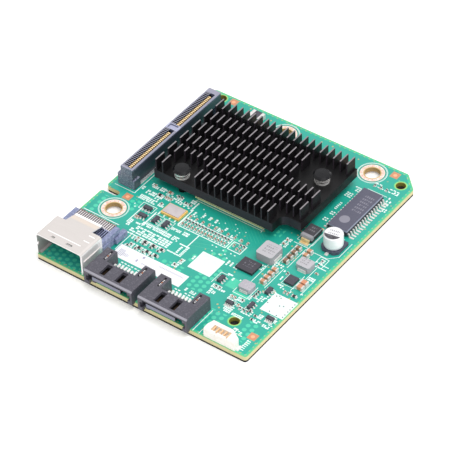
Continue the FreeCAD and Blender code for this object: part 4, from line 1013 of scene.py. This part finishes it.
# small chip parts that the frame leaves out: body, two ends and their solder
smallParts = {
    # length, width, height, end cap
    "sizes": {"small": (1.0, 0.5, 0.42, 0.24), "wide": (1.6, 0.8, 0.5, 0.32)},
    # solder: more length and width than the cap, height, and how far out it sits
    "solder": (0.3, 0.2, 0.12), "solderOut": 1.15, "solderTop": 0.85, "capRise": 0.05,
    # kind, size and how they lie: centre x and y, then columns, rows, step across and back where one repeats
    "rows": {
        "dark wide across": [(26.8, 22.7, 3, 2, 3.2, -3.15), (17.3, 42.6), (78.5, 29)],
        "dark small across": [(23.7, 19.6), (26.4, 44.1, 2, 1, 1.5, 0), (66.7, 18.9), (71.4, 16.4),
            (68.6, 22.2, 1, 3, 0, 1.2), (73.8, 15.6, 1, 2, 0, -1.8), (23.9, 21.6, 4, 1, 2.87, 0),
            (23, 18.7, 4, 1, 2.95, 0), (40.3, 19.9)],
        "tan small back": [(23.7, 22.9), (19.4, 42.8, 3, 1, 0.95, 0), (16.9, 30.4, 2, 1, 0.9, 0),
            (51.9, 36, 2, 1, 1.3, 0), (50.2, 37), (48.4, 39.9, 3, 1, 2.42, 0), (66.8, 16.4),
            (63, 18.4, 2, 1, 1.1, 0), (75, 28.9, 2, 1, 1.2, 0), (13.2, 45.3), (40.9, 22.2)],
        "tan wide across": [(19.3, 45.3)],
        "dark small back": [(22.5, 45.3, 2, 1, 1.2, 0), (20, 39.5), (51.9, 38, 2, 1, 1.3, 0),
            (56.3, 19.3, 2, 1, 1.4, 0), (68, 15.6, 3, 1, 1.3, 0), (76.7, 44.3, 1, 2, 0, 2), (71, 36),
            (70.4, 84.6, 3, 1, 2.2, 0)],
        "tan small across": [(78.4, 40.9), (62.4, 46.3, 1, 2, 0, 2)],
    },
}


def makeSmallParts(bodyMaterials, solder):
    bodies = {kind: [] for kind in bodyMaterials}
    ends = []
    moreLength, moreWidth, solderHeight = smallParts["solder"]
    out = smallParts["solderOut"]
    for name, spots in smallParts["rows"].items():
        kind, sizeName, lie = name.split()
        length, width, height, cap = smallParts["sizes"][sizeName]
        sizes = [(length - 2 * cap, width, height), (cap, width, height + smallParts["capRise"]),
                 (cap + moreLength, width + moreWidth, solderHeight)]
        shift = (length - cap) / 2
        offsets = [(-shift, 0), (shift, 0)]
        if lie == "back":
            sizes = [(s[1], s[0], s[2]) for s in sizes]
            offsets = [(0, -shift), (0, shift)]
        body, capSize, padSize = sizes
        for x, y, *repeat in spots:
            columns, rows, across, along = repeat or (1, 1, 0, 0)
            layout = {"step": (across, along), "count": (columns, rows)}
            bodies[kind].append(growRows((x, y), body, bodyMaterials[kind], **layout))
            for dx, dy in offsets:
                ends.append(growRows((x + dx, y + dy), capSize, solder, **layout))
                ends.append(growRows((x + dx * out, y + dy * out), padSize, solder,
                                     top=smallParts["solderTop"], **layout))
    joinPiece("extraResistors", bodies["dark"])
    joinPiece("extraCapacitors", bodies["tan"])
    joinPiece("extraEnds", ends)


# solder under every lead and end cap of the frame, found from where they touch the board
solderJoints = {
    "margin": 0.14, "height": 0.14, "top": 0.72, "touch": 0.06,
    # bare tin pads: left, front, columns, rows, step across, step back, width, depth
    "pads": [(78.3, 60.18, 1, 16, 1.0, 1.27, 1.2, 0.6), (68.1, 60.18, 1, 16, 1.0, 1.27, 0.5, 0.45)],
    "padHeight": 0.08,
    "nodes": ["memory_chip_leads", "small_chip_leads", "small_component_ends", "power_capacitor_ends",
              "inductor_terminals", "diode_terminals", "capacitor_terminals", "mezzanine_solder_tails",
              "sata_contacts", "sas_contacts", "header_solder_tabs", "header_pins"],
}


# the boxes where a node's separate bits meet the board: a span across and a span back for each
def footprints(node):
    copied = bmesh.new()
    copied.from_mesh(nodeObjects[node].data)
    bmesh.ops.remove_doubles(copied, verts=copied.verts, dist=1e-6)
    copied.verts.ensure_lookup_table()
    seen = set()
    found = []
    for first in copied.verts:
        if first.index in seen:
            continue
        seen.add(first.index)
        island = [first]
        for vertex in island:
            for edge in vertex.link_edges:
                other = edge.other_vert(vertex)
                if other.index not in seen:
                    seen.add(other.index)
                    island.append(other)
        low = [v.co for v in island if abs(v.co.z - boardHigh.z) < solderJoints["touch"] * mm]
        if len(low) >= 3:
            found.append([(min(c[i] for c in low), max(c[i] for c in low)) for i in range(2)])
    copied.free()
    return found


def makeSolder(material):
    centres = []
    sizes = []
    margin = solderJoints["margin"] * mm
    for node in solderJoints["nodes"]:
        for spanX, spanY in footprints(node):
            centres.append((sum(spanX) / 2, sum(spanY) / 2, boardHigh.z))
            sizes.append((spanX[1] - spanX[0] + 2 * margin, spanY[1] - spanY[0] + 2 * margin,
                          solderJoints["height"] * mm))
    spots = bpy.data.meshes.new("spots")
    spots.from_pydata(centres, [], [])
    attribute = spots.attributes.new("size", "FLOAT_VECTOR", "POINT")
    for item, size in zip(attribute.data, sizes):
        item.vector = size
    grown = [grow(spotsTree, spots, Top=solderJoints["top"], Material=material)]
    for left, front, columns, rows, across, along, width, depth in solderJoints["pads"]:
        grown.append(growRows((left, front), (width, depth, solderJoints["padHeight"]), material,
                              (across, along), (columns, rows)))
    joinPiece("solderJoints", grown)


plain = {name: plainFinish(name) for name in plainLooks}
finishes = {
    boardFinish: ["circuit_board"], sinkFinish: ["heat_sink"], pinFinish: ["push_pin_left", "push_pin_right"],
    substrateFinish: ["controller_substrate"], mezzanineFinish: ["mezzanine_housing"],
    mezzanineContactFinish: ["mezzanine_contacts"], mezzanineTailFinish: ["mezzanine_solder_tails"],
    cageFinish: ["sas_cage"], sasFinish: ["sas_body"], sasContactFinish: ["sas_contacts"],
    plugFinish: ["sata_housing_left", "sata_housing_right"], plugContactFinish: ["sata_contacts"],
    lockFinish: ["sata_board_locks"], canFinish: ["capacitor_can"], labelFinish: ["blank_label"],
}
for makeFinish, nodes in finishes.items():
    material = makeFinish()
    for node in nodes:
        paint(node, material)
for node in packageLooks:
    paint(node, packageFinish(node))
print("finishes")

makePrint(plain["printInk"])
makeSheetDots(plain["dotInk"])
makeSmallParts({"dark": plain["resistorBlack"], "tan": plain["smallCeramic"]}, plain["endSolder"])
makeSolder(plain["endSolder"])
print("small things")

makeCamera()
makeStage()
bpy.context.scene.view_settings.view_transform = "Standard"
print("camera and stage")
